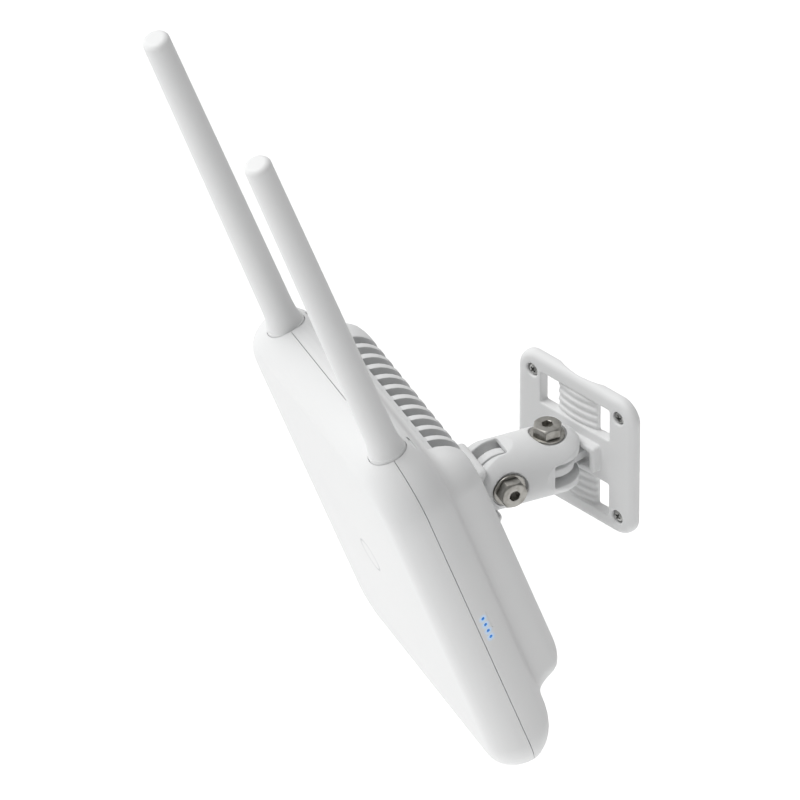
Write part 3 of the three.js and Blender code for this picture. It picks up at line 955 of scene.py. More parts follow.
class Workshop:
    """Runs modifiers on forms and gives forms back."""

    @staticmethod
    def _run(form: Form, dress: Callable[[bpy.types.Object], None]) -> Form:
        """Puts modifiers on a form and applies them.

        Args:
            form: The form.
            dress: Adds the modifiers to the form's object.

        Returns:
            The new form.
        """
        mesh = form.mesh("work")
        work = bpy.data.objects.new("work", mesh)
        bpy.context.scene.collection.objects.link(work)
        dress(work)
        bpy.context.view_layer.update()
        shown = work.evaluated_get(bpy.context.evaluated_depsgraph_get())
        result = bpy.data.meshes.new_from_object(shown)
        made = Form.from_mesh(result)
        bpy.data.objects.remove(work)
        for used in (mesh, result):
            bpy.data.meshes.remove(used)
        return made

    @classmethod
    def boolean(cls, base: Form, tool: Form, cut: Cut) -> Form:
        """Joins, cuts or intersects two forms.

        Args:
            base: The form that is worked on.
            tool: The form that acts on it.
            cut: What it does.

        Returns:
            The new form.
        """
        tool_mesh = tool.mesh("tool")
        other = bpy.data.objects.new("tool", tool_mesh)
        bpy.context.scene.collection.objects.link(other)

        def dress(work: bpy.types.Object) -> None:
            """Adds the boolean."""
            modifier = work.modifiers.new("cut", "BOOLEAN")
            modifier.operation, modifier.object = cut.value, other
            modifier.solver, modifier.use_self = "EXACT", True

        made = cls._run(base, dress)
        bpy.data.objects.remove(other)
        bpy.data.meshes.remove(tool_mesh)
        bmesh.ops.remove_doubles(made.bm, verts=made.bm.verts, dist=1e-4)
        bmesh.ops.dissolve_degenerate(made.bm, edges=made.bm.edges, dist=1e-4)
        return made

    @classmethod
    def cast(cls, form: Form, grain: float, rounds: int) -> Form:
        """Melts a form's shells into one skin with soft edges, as a casting has.

        Args:
            form: The form.
            grain: Size of the skin's faces.
            rounds: How many times it is smoothed.

        Returns:
            The new form.
        """
        def dress(work: bpy.types.Object) -> None:
            """Adds the remesh."""
            modifier = work.modifiers.new("skin", "REMESH")
            modifier.mode, modifier.voxel_size = "VOXEL", grain

        made = cls._run(form, dress)
        for _ in range(rounds):
            bmesh.ops.smooth_vert(made.bm, verts=made.bm.verts, factor=0.5,
                                  use_axis_x=True, use_axis_y=True, use_axis_z=True)
        return made


@dataclass(frozen=True)
class Dress:
    """What a piece wears and rides on.

    Attributes:
        finish: Its material.
        slot: The record's material slot; not used.
        body: The body that it rides on.
        sharp: Degrees above which an edge stays sharp in the shading.
    """

    finish: bpy.types.Material
    slot: str
    body: Body
    sharp: float = 38.0


def place_piece(name: str, form: Form, place: Matrix, dress: Dress,
                stands_for: Iterable[str]) -> bpy.types.Object:
    """Makes a form a finished piece of the object.

    Args:
        name: The piece's name.
        form: Its shape, in millimetres in the axes of place.
        place: The axes that it is built in.
        dress: What it wears and rides on.
        stands_for: The CAD nodes that it replaces.

    Returns:
        The piece's object.
    """
    form.turn(place @ Matrix.Scale(MM, 4))
    mesh = form.mesh(name)
    form.bm.free()
    mesh.materials.append(dress.finish)
    mesh.shade_smooth()
    mesh.set_sharp_from_angle(angle=math.radians(dress.sharp))
    piece = bpy.data.objects.new(name, mesh)
    bpy.context.scene.collection.objects.link(piece)
    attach(piece, dress.body.value)
    nodes = list(stands_for)
    if nodes:
        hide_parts(*nodes)
    LOG.info("%s: %d faces for %s", name, len(mesh.polygons), ", ".join(nodes) or "nothing in the CAD")
    return piece


# ------------------------------------------------------------------ shared sizes

@dataclass(frozen=True)
class KnuckleSizes:
    """Sizes that the two bolted knuckles share.

    Attributes:
        disc: Radius of a tongue.
        web: Half thickness of its web.
        hub: Radius of the hub round the bolt.
        hub_half: Half the hub's length.
        saddle: Radius of the hollow that the barrel's end swings in.
        slot_half: Half the width of the barrel's slot.
        pocket: Radius of the pocket that the tongue turns in.
        slot_past: How far the slot runs past the bolt.
        hole: Radius of the bolt hole.
    """

    disc: float = 13.0
    web: float = 2.4
    hub: float = 8.5
    hub_half: float = 5.9
    saddle: float = 16.0
    slot_half: float = 6.2
    pocket: float = 13.7
    slot_past: float = 3.0
    hole: float = 4.3


KNUCKLE = KnuckleSizes()


def tongue(axis: Axis, at: Sequence[float]) -> Form:
    """Makes a knuckle's tongue, a web and a hub, without its neck and its bolt hole.

    Args:
        axis: The bolt's axis.
        at: A point on it.

    Returns:
        The tongue's shells, overlapping.
    """
    form = Form().rod(axis, KNUCKLE.disc, -KNUCKLE.web, KNUCKLE.web, at, 96)
    return form.rod(axis, KNUCKLE.hub, -KNUCKLE.hub_half, KNUCKLE.hub_half, at, 72)


def bolt_hole(axis: Axis, at: Sequence[float]) -> Form:
    """Makes the cutter for a knuckle's bolt hole."""
    return Form().rod(axis, KNUCKLE.hole, -24, 24, at, 48)


# ------------------------------------------------------------------ wall plate

@dataclass
class WallPlate:
    """The square plate that is screwed to the wall or strapped to a pole."""

    coat: bpy.types.Material
    half: float = 39.0
    thickness: float = 5.4
    corner: float = 11.6
    edge: float = 3.7
    screw_at: float = 28.7
    screw_hole: float = 2.2
    screw_sink: float = 3.5
    sink_floor: float = -2.0
    pole_radius: float = 42.3
    pole_depth: float = 2.6
    strap_wall: float = 1.7
    slot_x: tuple[float, float] = (13.2, 23.0)
    slot_z: tuple[float, float] = (12.6, 30.3)
    rib_pitch: float = 4.4
    rib_height: float = 0.9
    ribs: int = 4
    boss: tuple[float, float, float] = (17.4, 4.8, 7.2)
    pocket: tuple[float, float, float] = (14.5, 4.0, 4.4)
    neck_half: float = 9.5
    pan_from_wall: float = 23.8
    grain: float = 0.42

    def build(self) -> None:
        """Builds the plate and places it."""
        centre = (0.0, self.pole_radius - self.pole_depth, 0.0)
        plate = Form().plate((-self.half, -self.half), (self.half, self.half),
                             (self.corner, self.corner), (-self.thickness, 0.0), 14)
        plate.soften(self.edge, 7, 60.0, self._front_edge)
        plate = Workshop.boolean(plate, self._boss(), Cut.JOIN)
        plate = Workshop.boolean(plate, self._strap_hollows(centre), Cut.AWAY)
        groove = Form().rod(Axis.Z, self.pole_radius, -50, 50, centre, 240)
        plate = Workshop.boolean(plate, groove.join(self._holes()), Cut.AWAY)
        pivot = (0.0, -self.pan_from_wall, 0.0)
        plate.join(self._ribs(centre))
        neck = Form().block((-self.neck_half, -self.pan_from_wall, -KNUCKLE.web),
                            (self.neck_half, -self.thickness + 1, KNUCKLE.web))
        plate.join(neck).join(tongue(Axis.Z, pivot))
        plate = Workshop.boolean(plate, bolt_hole(Axis.Z, pivot), Cut.AWAY)
        skin = Workshop.cast(plate, self.grain, 3)
        dress = Dress(self.coat, "painted_casting", Body.WALL, 50.0)
        place_piece("wall_plate_casting", skin, PLACES.wall, dress, ["wall_plate"])

    def _front_edge(self, edge: bmesh.types.BMEdge) -> bool:
        """Tells whether an edge is on the plate's front."""
        return all(vert.co.y < -self.thickness + 0.01 for vert in edge.verts)

    def _boss(self) -> Form:
        """Makes the boss in front of the plate, hollowed for the arm's end and the tongue."""
        half, proud, high = self.boss
        front = -self.thickness - proud
        boss = Form().block((-half, front, -high), (half, -self.thickness + 2, high))
        boss.soften(1.4, 4)
        hollow = Form().rod(Axis.Z, KNUCKLE.saddle, -20, 20, (0, -self.pan_from_wall, 0), 128)
        boss = Workshop.boolean(boss, hollow, Cut.AWAY)
        half, depth, high = self.pocket
        pocket = Form().block((-half, front - 1, -high), (half, front + depth, high)).soften(0.6, 2)
        return Workshop.boolean(boss, pocket, Cut.AWAY)

    def _window(self, side: int) -> tuple[float, float]:
        """Gives the height of the strap seat on one side of the boss."""
        low, high = sorted(side * z for z in self.slot_z)
        return low, high

    def _strap_hollows(self, centre: Sequence[float]) -> Form:
        """Makes the cutters that leave an arched seat for the strap above and below the boss."""
        inner = self.slot_x[0]
        hollows = Form()
        for side in (-1, 1):
            low, high = self._window(side)
            hollows.block((-inner - 0.2, -14, low), (inner + 0.2, -0.6, high))
        arch = Form().rod(Axis.Z, self.pole_radius + self.strap_wall, -60, 60, centre, 320)
        return Workshop.boolean(hollows, arch, Cut.AWAY)

    def _ribs(self, centre: Sequence[float]) -> Form:
        """Makes the ribs across the two strap seats."""
        inner = self.slot_x[0] - 0.2
        radius = self.pole_radius + self.strap_wall + self.rib_height
        rings = Form()
        for side in (-1, 1):
            low, high = self._window(side)
            for index in range(self.ribs):
                z = (low + high) / 2 + (index - (self.ribs - 1) / 2) * self.rib_pitch
                rings.rod(Axis.Z, radius, z - 1.0, z + 1.0, centre, 320)
        keep = Form().block((-inner, -12, -33), (inner, -1.2, 33))
        return Workshop.boolean(rings, keep, Cut.KEEP)

    def _holes(self) -> Form:
        """Makes the cutters for the strap slots and the screw holes."""
        holes = Form()
        for across in (-1, 1):
            x0, x1 = sorted(across * x for x in self.slot_x)
            for side in (-1, 1):
                low, high = self._window(side)
                at = (self.screw_at * across, 0, self.screw_at * side)
                holes.join(Form().block((x0, -20, low), (x1, 5, high)).soften(0.9, 3))
                holes.join(Form().rod(Axis.Y, self.screw_hole, -20, 5, at, 40))
                holes.join(Form().rod(Axis.Y, self.screw_sink, -20, self.sink_floor, at, 56))
        return holes


# ------------------------------------------------------------------ arm

@dataclass
class ArmBarrel:
    """The short round arm with a bolted knuckle at each end, one upright and one level."""

    coat: bpy.types.Material
    length: float = 26.9
    radius: float = 17.2
    end: float = 15.4
    shoulder: float = 9.0
    bore: float = 9.25
    bore_floor: float = 14.0
    nut_floor: float = 9.5
    dome: tuple[tuple[float, float], ...] = (
        (17.3, 3.0), (17.1, 5.0), (16.6, 7.4), (15.8, 9.6), (14.7, 11.6), (13.4, 13.3), (11.9, 14.7),
        (10.2, 15.8))
    grain: float = 0.36

    def build(self) -> None:
        """Builds the barrel and places it."""
        barrel = self._domed_tube()
        barrel = Workshop.boolean(barrel, self._end_shape(), Cut.KEEP)
        tilt = self._end_shape().turn(
            Matrix.Translation((0, -self.length, 0)) @ Matrix.Rotation(math.pi, 4, "Z")
            @ Matrix.Rotation(math.radians(90), 4, "Y"))
        barrel = Workshop.boolean(barrel, tilt, Cut.KEEP)
        for cutter in self._cutters():
            barrel = Workshop.boolean(barrel, cutter, Cut.AWAY)
        skin = Workshop.cast(barrel, self.grain, 3)
        dress = Dress(self.coat, "painted_casting", Body.ARM, 50.0)
        place_piece("arm_barrel_casting", skin, PLACES.arm, dress, ["arm_barrel"])

    def _domed_tube(self) -> Form:
        """Makes the tube along y, with a domed end past each bolt."""
        near = [(radius, y) for radius, y in reversed(self.dome)]
        far = [(radius, -self.length - y) for radius, y in self.dome]
        profile = [(0, near[0][1]), *near, *far, (0, far[-1][1])]
        held = [(min(radius, self.radius), y) for radius, y in profile]
        return Form().turned(held, 180, Axis.Y).close()

    def _end_shape(self) -> Form:
        """Makes a thick outline with the rounded end about a bolt at the origin.

        Returns:
            A solid that, intersected with the barrel, gives it that end.
        """
        form = Form()
        wide = self.radius + 0.4
        pen = Pen(form, self.end, 0.0).arc((0, 0), 180, 40)
        pen.line(-self.end - 0.35, -self.shoulder / 3).line(-self.end - 1.1, -self.shoulder / 1.5)
        pen.line(-wide, -self.shoulder).line(-wide, -80).line(wide, -80).line(wide, -self.shoulder)
        pen.line(self.end + 1.1, -self.shoulder / 1.5).line(self.end + 0.35, -self.shoulder / 3)
        form.thicken(pen.face(), Vector((0, 0, 60)))
        return form.turn(Matrix.Translation((0, 0, -30)))

    def _cutters(self) -> list[Form]:
        """Makes the cutters of both knuckles."""
        half, past, tilt = KNUCKLE.slot_half, KNUCKLE.slot_past, (0, -self.length, 0)
        slots = [
            (Axis.Z, (0, 0, 0), (-40, -past, -half), (40, 40, half)),
            (Axis.X, tilt, (-half, -self.length - 40, -40), (half, -self.length + past, 40)),
        ]
        cutters = []
        for axis, at, low, high in slots:
            cutters.append(Form().block(low, high))
            cutters.append(Form().rod(axis, KNUCKLE.pocket, -half, half, at, 96))
            cutters.append(Form().rod(axis, self.bore, self.bore_floor, 40, at, 96))
            cutters.append(Form().rod(axis, self.bore, -40, -self.nut_floor, at, 96))
            cutters.append(bolt_hole(axis, at))
        return cutters


@dataclass
class KnuckleBolts:
    """The hexagon bolt, washer and nut through each knuckle."""

    steel: bpy.types.Material
    flats: float = 13.0
    head_top: float = 20.9
    head: float = 5.0
    socket_flats: float = 5.0
    socket_depth: float = 3.4
    shank: float = 4.0
    tail: float = 16.8
    washer: float = 8.4
    washer_thickness: float = 1.3
    nut_floor: float = 9.5
    nut_thickness: float = 6.5
    gap: float = 0.3

    def build(self) -> None:
        """Builds both sets."""
        level = Matrix.Rotation(math.radians(90), 4, "Y")
        for name, place in (("pan", PLACES.arm), ("tilt", PLACES.tilt @ level)):
            dress = Dress(self.steel, "bolt_steel", Body.ARM, 30.0)
            place_piece(f"{name}_hex_bolt", self._bolt(), place, dress, [f"{name}_bolt"])
            place_piece(f"{name}_flat_washer", self._washer(), place, dress, [f"{name}_washer"])
            place_piece(f"{name}_hex_nut", self._nut(), place, dress, [f"{name}_nut"])

    def _bolt(self) -> Form:
        """Makes the bolt, head up."""
        corner, bottom = self.flats / math.sqrt(3), self.head_top - self.head
        crown = Form().turned([
            (0, bottom - 1), (corner + 1, bottom - 1), (corner + 1, bottom + 0.1),
            (corner + 0.2, bottom + 0.4), (corner + 0.2, self.head_top - 1.5),
            (corner - 0.6, self.head_top - 0.75), (self.flats / 2 - 0.2, self.head_top - 0.14),
            (self.flats / 2 - 0.7, self.head_top), (0, self.head_top)], 96)
        head = Form().rod(Axis.Z, corner, bottom, self.head_top + 1, sides=6)
        head = Workshop.boolean(head.close(), crown.close(), Cut.KEEP)
        key = Form().rod(Axis.Z, self.socket_flats / math.sqrt(3), self.head_top - self.socket_depth,
                         self.head_top + 1, sides=6)
        key.turn(Matrix.Rotation(math.radians(12), 4, "Z"))
        lead = Form().rod(Axis.Z, 1.9, self.head_top - 0.6, self.head_top + 0.6, sides=48,
                          top=self.socket_flats / math.sqrt(3) + 0.9)
        head = Workshop.boolean(head, key, Cut.AWAY)
        head = Workshop.boolean(head, lead, Cut.AWAY)
        shank = Form().turned([
            (0, -self.tail), (self.shank - 0.9, -self.tail), (self.shank, -self.tail + 0.9),
            (self.shank, bottom + 0.4), (0, bottom + 0.4)], 48)
        return Workshop.boolean(head, shank.close(), Cut.JOIN).soften(0.12, 1, 28.0)

    def _washer(self) -> Form:
        """Makes the washer under the head."""
        low = self.head_top - self.head - self.gap - self.washer_thickness
        high = low + self.washer_thickness
        ring = Form().rod(Axis.Z, self.washer, low, high, sides=80)
        hole = Form().rod(Axis.Z, KNUCKLE.hole, low - 1, high + 1, sides=48)
        return Workshop.boolean(ring, hole, Cut.AWAY).soften(0.22, 2, 60.0)

    def _nut(self) -> Form:
        """Makes the nut at the bolt's far end."""
        corner, high = self.flats / math.sqrt(3), -self.nut_floor - self.gap
        low = high - self.nut_thickness
        barrel = Form().turned([
            (0, low), (self.flats / 2 - 0.3, low), (corner, low + 0.9), (corner + 0.5, low + 1.2),
            (corner + 0.5, high - 0.9), (self.flats / 2 + 0.2, high), (0, high)], 96)
        nut = Form().rod(Axis.Z, corner, low, high, sides=6)
        nut = Workshop.boolean(nut, barrel.close(), Cut.KEEP)
        hole = Form().rod(Axis.Z, KNUCKLE.hole, low - 1, high + 1, sides=48)
        return Workshop.boolean(nut, hole, Cut.AWAY)


# ------------------------------------------------------------------ screws

@dataclass(frozen=True)
class CrossScrew:
    """A cross-recessed pan-head screw along y.

    Attributes:
        head_radius: Radius of its head.
        shank_radius: Radius of its shank.
        crown: The y of the head's top.
        seat: The y of the head's underside.
        tip: The y of its tip.
    """

    head_radius: float
    shank_radius: float
    crown: float
    seat: float
    tip: float

    def form(self) -> Form:
        """Makes the screw.

        Returns:
            The screw, with its axis on x = z = 0.
        """
        way = 1 if self.seat > self.crown else -1
        dome = self.head_radius
        shank, under, end = self.shank_radius, abs(self.seat - self.crown), abs(self.tip - self.crown)
        profile = [
            (0, 0), (dome * 0.45, 0.06), (dome * 0.75, 0.28), (dome * 0.93, 0.75), (dome, 1.3),
            (dome, under), (shank, under), (shank, end - 0.8), (shank * 0.6, end), (0, end)]
        screw = Form().turned(profile, 48).close()
        arm, half, depth = dome * 0.52, 0.45, min(1.7, under * 0.7)
        recess = Form().block((-arm, -half, -1), (arm, half, depth))
        other = Form().block((-half, -arm, -1), (half, arm, depth))
        screw = Workshop.boolean(screw, recess, Cut.AWAY)
        screw = Workshop.boolean(screw, other, Cut.AWAY).soften(0.1, 1, 40.0)
        lay = Matrix.Rotation(math.radians(-90 * way), 4, "X")
        return screw.turn(Matrix.Translation((0, self.crown, 0)) @ lay)


@dataclass
class Screws:
    """Every cross-recessed screw of the object, each where its CAD node is."""

    zinc: bpy.types.Material

    def build(self) -> None:
        """Builds the wall, board and bracket screws."""
        self._row("wall_screw", CrossScrew(3.15, 1.9, -4.8, -2.3, -0.5), PLACES.wall, Body.WALL)
        self._row("board_screw", CrossScrew(2.8, 1.4, 10.2, 11.7, 20.3), PLACES.panel, Body.PANEL)
        self._row("bracket_screw", CrossScrew(3.7, 2.0, 41.3, 38.8, 26.0), PLACES.panel, Body.PANEL)

    def _row(self, name: str, kind: CrossScrew, place: Matrix, body: Body) -> None:
        """Builds one kind of screw at each of its nodes.

        Args:
            name: The nodes' common name.
            kind: The screw.
            place: The axes that it stands in.
            body: The body that it rides on.
        """
        for node in sorted(n for n in frame["nodes"] if n.startswith(name)):
            low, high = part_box(node)
            middle = (place.inverted() @ ((Vector(low) + Vector(high)) / 2)) / MM
            turn = Matrix.Rotation(math.radians(37 * int(node[-1])), 4, "Y")
            at = Matrix.Translation((middle.x * MM, 0, middle.z * MM))
            dress = Dress(self.zinc, "screw_steel", body, 30.0)
            place_piece(f"{node}_pan_head", kind.form(), place @ at @ turn, dress, [node])


# ------------------------------------------------------------------ panel

@dataclass(frozen=True)
class PanelSizes:
    """Sizes that the panel's two shells share."""

    half_width: float = 85.0
    half_length: float = 105.0
    corner_foot: float = 27.0
    corner_top: float = 30.0
    rim: float = 0.15
    wall: float = 2.6
    side_share: float = 0.86
    segments: int = 18

    def corners(self, inset: float) -> tuple[float, float]:
        """Gives the corner radii of the outline inset by some amount."""
        return self.corner_foot - inset, self.corner_top - inset

    def low(self, inset: float) -> Point:
        """Gives the lowest corner of the inset outline, which is fuller at its sides."""
        return -self.half_width + inset * self.side_share, -self.half_length + inset

    def high(self, inset: float) -> Point:
        """Gives the highest corner of the inset outline."""
        return self.half_width - inset * self.side_share, self.half_length - inset


PANEL = PanelSizes()


@dataclass(frozen=True)
class AerialSizes:
    """Sizes that the aerials share with the seats they stand in."""

    across: float = 57.0
    depth: float = 0.5
    tip: float = 298.0
    tip_radius: float = 6.8
    tip_round: float = 3.0
    base_radius: float = 7.7
    foot_top: float = 104.6
    foot_wide: float = 8.8
    foot_deep: float = 9.5
    foot_bottom: float = 98.0
    bore: float = 5.2
    pocket_floor: float = 96.0
    slack: float = 0.26

    def seat_cutters(self) -> Form:
        """Makes the cutters of both oval seats and their bores."""
        cutters = Form()
        for side in (-1, 1):
            at = (self.across * side, self.depth, 0)
            seat = Form().rod(Axis.Z, 1.0, self.pocket_floor, 120.0, (0, 0, 0), 96)
            wide, deep = self.foot_wide + self.slack, self.foot_deep + self.slack
            seat.shift(lambda co: Vector((co.x * wide, co.y * deep, co.z)))
            cutters.join(seat.turn(Matrix.Translation(at)))
            cutters.join(Form().rod(Axis.Z, 5.0, 76.0, 100.0, at, 48))
        return cutters


AERIAL = AerialSizes()


@dataclass
class FrontCover:
    """The plain white cover in front of the aerial array."""

    plastic: bpy.types.Material
    depth: float = 18.0
    crown: float = 0.7
    round_size: float = 16.0
    hollow_top: float = 88.0
    steps: int = 16

    def build(self) -> None:
        """Builds the cover and places it."""
        cover = self._dome()
        cover = Workshop.boolean(cover, self._hollow(), Cut.AWAY)
        cover = Workshop.boolean(cover, AERIAL.seat_cutters(), Cut.AWAY)
        dress = Dress(self.plastic, "cover_plastic", Body.PANEL, 42.0)
        place_piece("front_cover_shell", cover, PLACES.panel, dress, ["front_cover"])

    def _profile(self, size: float, flat: float) -> list[Point]:
        """Gives the cover's edge as pairs of inset and depth, from the seam forward.

        Args:
            size: How far the edge is rounded inwards.
            flat: Depth of the flat front.

        Returns:
            The pairs.
        """
        start = math.radians(4)
        pairs = []
        for index in range(self.steps + 1):
            angle = start + (math.pi / 2 - start) * index / self.steps
            inset = size * (1 - math.cos(angle) ** 0.92)
            pairs.append((inset, PANEL.rim + (flat - PANEL.rim) * math.sin(angle) ** 1.08))
        return pairs

    def _hollow(self) -> Form:
        """Makes the cutter that leaves an even wall, closed off below the aerials' seats."""
        form = Form()
        wall, top = PANEL.wall, self.hollow_top
        pairs = [(0.0, -4.0), *self._profile(self.round_size - wall, self.depth - self.crown - wall)]
        faces = []
        for inset, depth in pairs:
            low = PANEL.low(wall + inset)
            high = (PANEL.high(wall + inset)[0], top - inset)
            corners = (PANEL.corner_foot - wall - inset, 22.0 - inset)
            faces.append(form.rounded_face(low, high, corners, -depth, PANEL.segments))
        return form.loft(faces)

    def _dome(self) -> Form:
        """Makes the outside as a solid, with a slightly crowned front."""
        form = Form()
        profile = [(0.0, PANEL.rim), *self._profile(self.round_size, self.depth - self.crown)]
        faces = [form.rounded_face(PANEL.low(inset), PANEL.high(inset), PANEL.corners(inset), -depth,
                                   PANEL.segments) for inset, depth in profile]
        form.loft(faces)
        for axis, half in ((0, 80), (2, 100)):
            normal = Vector((1, 0, 0)) if axis == 0 else Vector((0, 0, 1))
            for step in range(-half, half + 1, 10):
                geom = [*form.bm.verts, *form.bm.edges, *form.bm.faces]
                bmesh.ops.bisect_plane(form.bm, geom=geom, dist=1e-4, plane_co=normal * step,
                                       plane_no=normal)
        wide, long = PANEL.half_width - self.round_size, PANEL.half_length - self.round_size
        flat = self.depth - self.crown

        def crowned(co: Vector) -> Vector:
            """Lifts a point of the flat front towards its middle."""
            if co.y > -flat + 0.01:
                return co
            bulge = max(0.0, 1 - (co.x / wide) ** 2) * max(0.0, 1 - (co.z / long) ** 2)
            return Vector((co.x, co.y - self.crown * bulge, co.z))

        return form.shift(crowned)


@dataclass
class RearHousing:
    """The cast back of the panel, with its raised heat sink."""

    coat: bpy.types.Material
    crest: float = 35.2
    root: float = 22.0
    gap_half_span: float = 49.4
    gap_low: float = -55.0
    pitch: float = 9.26
    fin: float = 3.6
    pad_half: float = 28.0
    pad_high: float = 51.0
    slope: tuple[Point, ...] = (
        # depth and end of the platform's upper slope, from the pan to the crest
        (15.6, 93.0), (16.1, 90.6), (16.6, 88.9), (17.4, 87.0), (18.4, 85.3), (20.0, 83.7), (22.0, 82.8),
        (25.0, 81.8), (28.0, 80.0), (30.5, 77.8), (32.6, 75.2), (34.1, 72.6), (34.9, 70.6), (35.2, 69.0))
    sections: tuple[tuple[float, float, float, float], ...] = (
        # depth, half width, high end, low end
        (0.15, 85.0, 105.0, -105.0),
        (3.0, 84.85, 104.8, -104.8),
        (6.0, 84.15, 104.1, -104.0),
        (9.0, 83.2, 102.8, -102.5),
        (11.5, 82.1, 100.9, -100.8),
        (13.4, 80.8, 98.4, -98.4),
        (14.7, 79.2, 95.6, -96.0),
        (15.6, 77.6, 93.0, -92.0),
        (16.1, 76.4, 90.6, -86.0),
        (16.6, 75.3, 88.9, -76.0),
        (17.4, 74.6, 87.0, -72.3),
        (18.4, 74.2, 85.3, -70.6),
        (20.0, 73.9, 83.7, -69.2),
        (22.0, 73.4, 82.8, -68.0),
        (25.0, 72.6, 81.8, -66.9),
        (28.0, 71.6, 80.0, -65.9),
        (30.5, 70.2, 77.8, -64.7),
        (32.6, 68.2, 75.2, -62.8),
        (34.1, 65.8, 72.6, -60.7),
        (34.9, 63.6, 70.6, -58.6),
        (35.2, 61.6, 69.0, -56.6),
    )

    def build(self) -> None:
        """Builds the housing and places it."""
        housing = self._outside()
        port_recess = Form().block((-38, 15.8, -90), (38, 31.0, -55)).soften(1.0, 3)
        housing = Workshop.boolean(housing, port_recess, Cut.AWAY)
        housing = Workshop.boolean(housing, self._trough(), Cut.AWAY)
        housing.soften(1.0, 3, 32.0, self._trough_edge)
        for cutter in self._insides():
            housing = Workshop.boolean(housing, cutter, Cut.AWAY)
        housing = Workshop.boolean(housing, AERIAL.seat_cutters(), Cut.AWAY)
        for cutter in self._small_cuts():
            housing = Workshop.boolean(housing, cutter, Cut.AWAY)
        housing = Workshop.boolean(housing, self._fins(), Cut.JOIN)
        dress = Dress(self.coat, "painted_casting", Body.PANEL, 34.0)
        place_piece("rear_housing_casting", housing, PLACES.panel, dress, ["rear_housing"])

    def _corner(self, half_width: float, top: bool) -> float:
        """Gives a section's corner radius, which follows the outline inwards and then holds."""
        outer = PANEL.corner_top if top else PANEL.corner_foot
        return max(10.5, outer - (PANEL.half_width - half_width) * 1.15)

    def _outside(self) -> Form:
        """Makes the outside as a solid by bridging its sections."""
        form = Form()
        faces = []
        for depth, half, high, low in self.sections:
            corners = (self._corner(half, False), self._corner(half, True))
            faces.append(form.rounded_face((-half, low), (half, high), corners, depth, PANEL.segments))
        form.loft(faces)

        def falling(co: Vector) -> Vector:
            """Lets the back fall away to the seam towards the foot."""
            share = min(1.0, max(0.0, (-69.0 - co.z) / 42.0))
            ease = share * share * (3 - 2 * share)
            depth = min(co.y, 16.6) * (1 - 0.42 * ease) + max(0.0, co.y - 16.6)
            return Vector((co.x, depth if co.y > PANEL.rim + 0.01 else co.y, co.z))

        return form.shift(falling)

    def _trough(self) -> Form:
        """Makes the cutter that leaves room for the fins round the bracket's pad."""
        trough = Form().block((-self.gap_half_span, self.root, self.gap_low),
                              (self.gap_half_span, 60, 110))
        pad = Form().block((-self.pad_half, self.root - 5, -60), (self.pad_half, 70, self.pad_high))
        pad.soften(2.0, 4, 30.0, lambda edge: abs(edge.verts[0].co.y - edge.verts[1].co.y) > 1)
        return Workshop.boolean(trough, pad, Cut.AWAY)

    def _trough_edge(self, edge: bmesh.types.BMEdge) -> bool:
        """Tells whether an edge is on the trough's upper rim."""
        points = [vert.co for vert in edge.verts]
        if any(co.y < self.root + 0.6 for co in points):
            return False
        on_side = all(abs(abs(co.x) - self.gap_half_span) < 0.02 for co in points)
        on_low = all(abs(co.z - self.gap_low) < 0.02 for co in points)
        on_pad = all(abs(co.x) < self.pad_half + 0.1 and co.z > self.gap_low - 0.1 for co in points)
        return on_side or on_low or on_pad

    def _fins(self) -> Form:
        """Makes the fins, each with rounded edges and an S-shaped top end."""
        fins = Form()
        for index in range(10):
            x = (index - 4.5) * self.pitch
            start = self.pad_high - 1.5 if abs(x) < self.pad_half else self.gap_low - 1.5
            fins.join(self._fin(x, start))
        return fins

    def _fin(self, x: float, start: float) -> Form:
        """Makes one fin.

        Args:
            x: Where it stands across the panel.
            start: Where its foot end is.

        Returns:
            The fin.
        """
        form = Form()
        inside = self.root - 1.5
        crest = self.crest - 0.05
        pen = Pen(form, inside, start).line(crest, start)
        for depth, end in reversed(self.slope):
            if depth > inside:
                pen.line(min(depth, crest), end - 0.05)
        pen.line(inside, 83.6)
        form.thicken(pen.face(), Vector((0, 0, self.fin)))
        lay = Matrix(((0, 0, 1, x - self.fin / 2), (1, 0, 0, 0), (0, 1, 0, 0), (0, 0, 0, 1)))
        form.turn(lay)
        bmesh.ops.recalc_face_normals(form.bm, faces=form.bm.faces)

        def rim(edge: bmesh.types.BMEdge) -> bool:
            """Tells whether an edge is on the fin's crest or top end."""
            return all(vert.co.y > inside + 0.1 and vert.co.z > start + 0.1 or vert.co.y > crest - 0.1
                       for vert in edge.verts) and abs(edge.verts[0].co.x - edge.verts[1].co.x) < 0.1

        return form.soften(1.3, 5, 24.0, rim)

    def _insides(self) -> list[Form]:
        """Makes the cutters that hollow the casting out."""
        cutters = [Form().plate((-81, -86), (81, 88), (10, 10), (-2, 9)),
                   Form().block((-66, -1, -48), (66, 19.5, 78)),
                   Form().block((-11, 10, -48), (11, 30, -24))]
        for side in (-1, 1):
            x0, x1 = sorted((53.5 * side, 66.5 * side))
            cutters.append(Form().block((x0, 8, -42), (x1, 30, 72)))
        return cutters

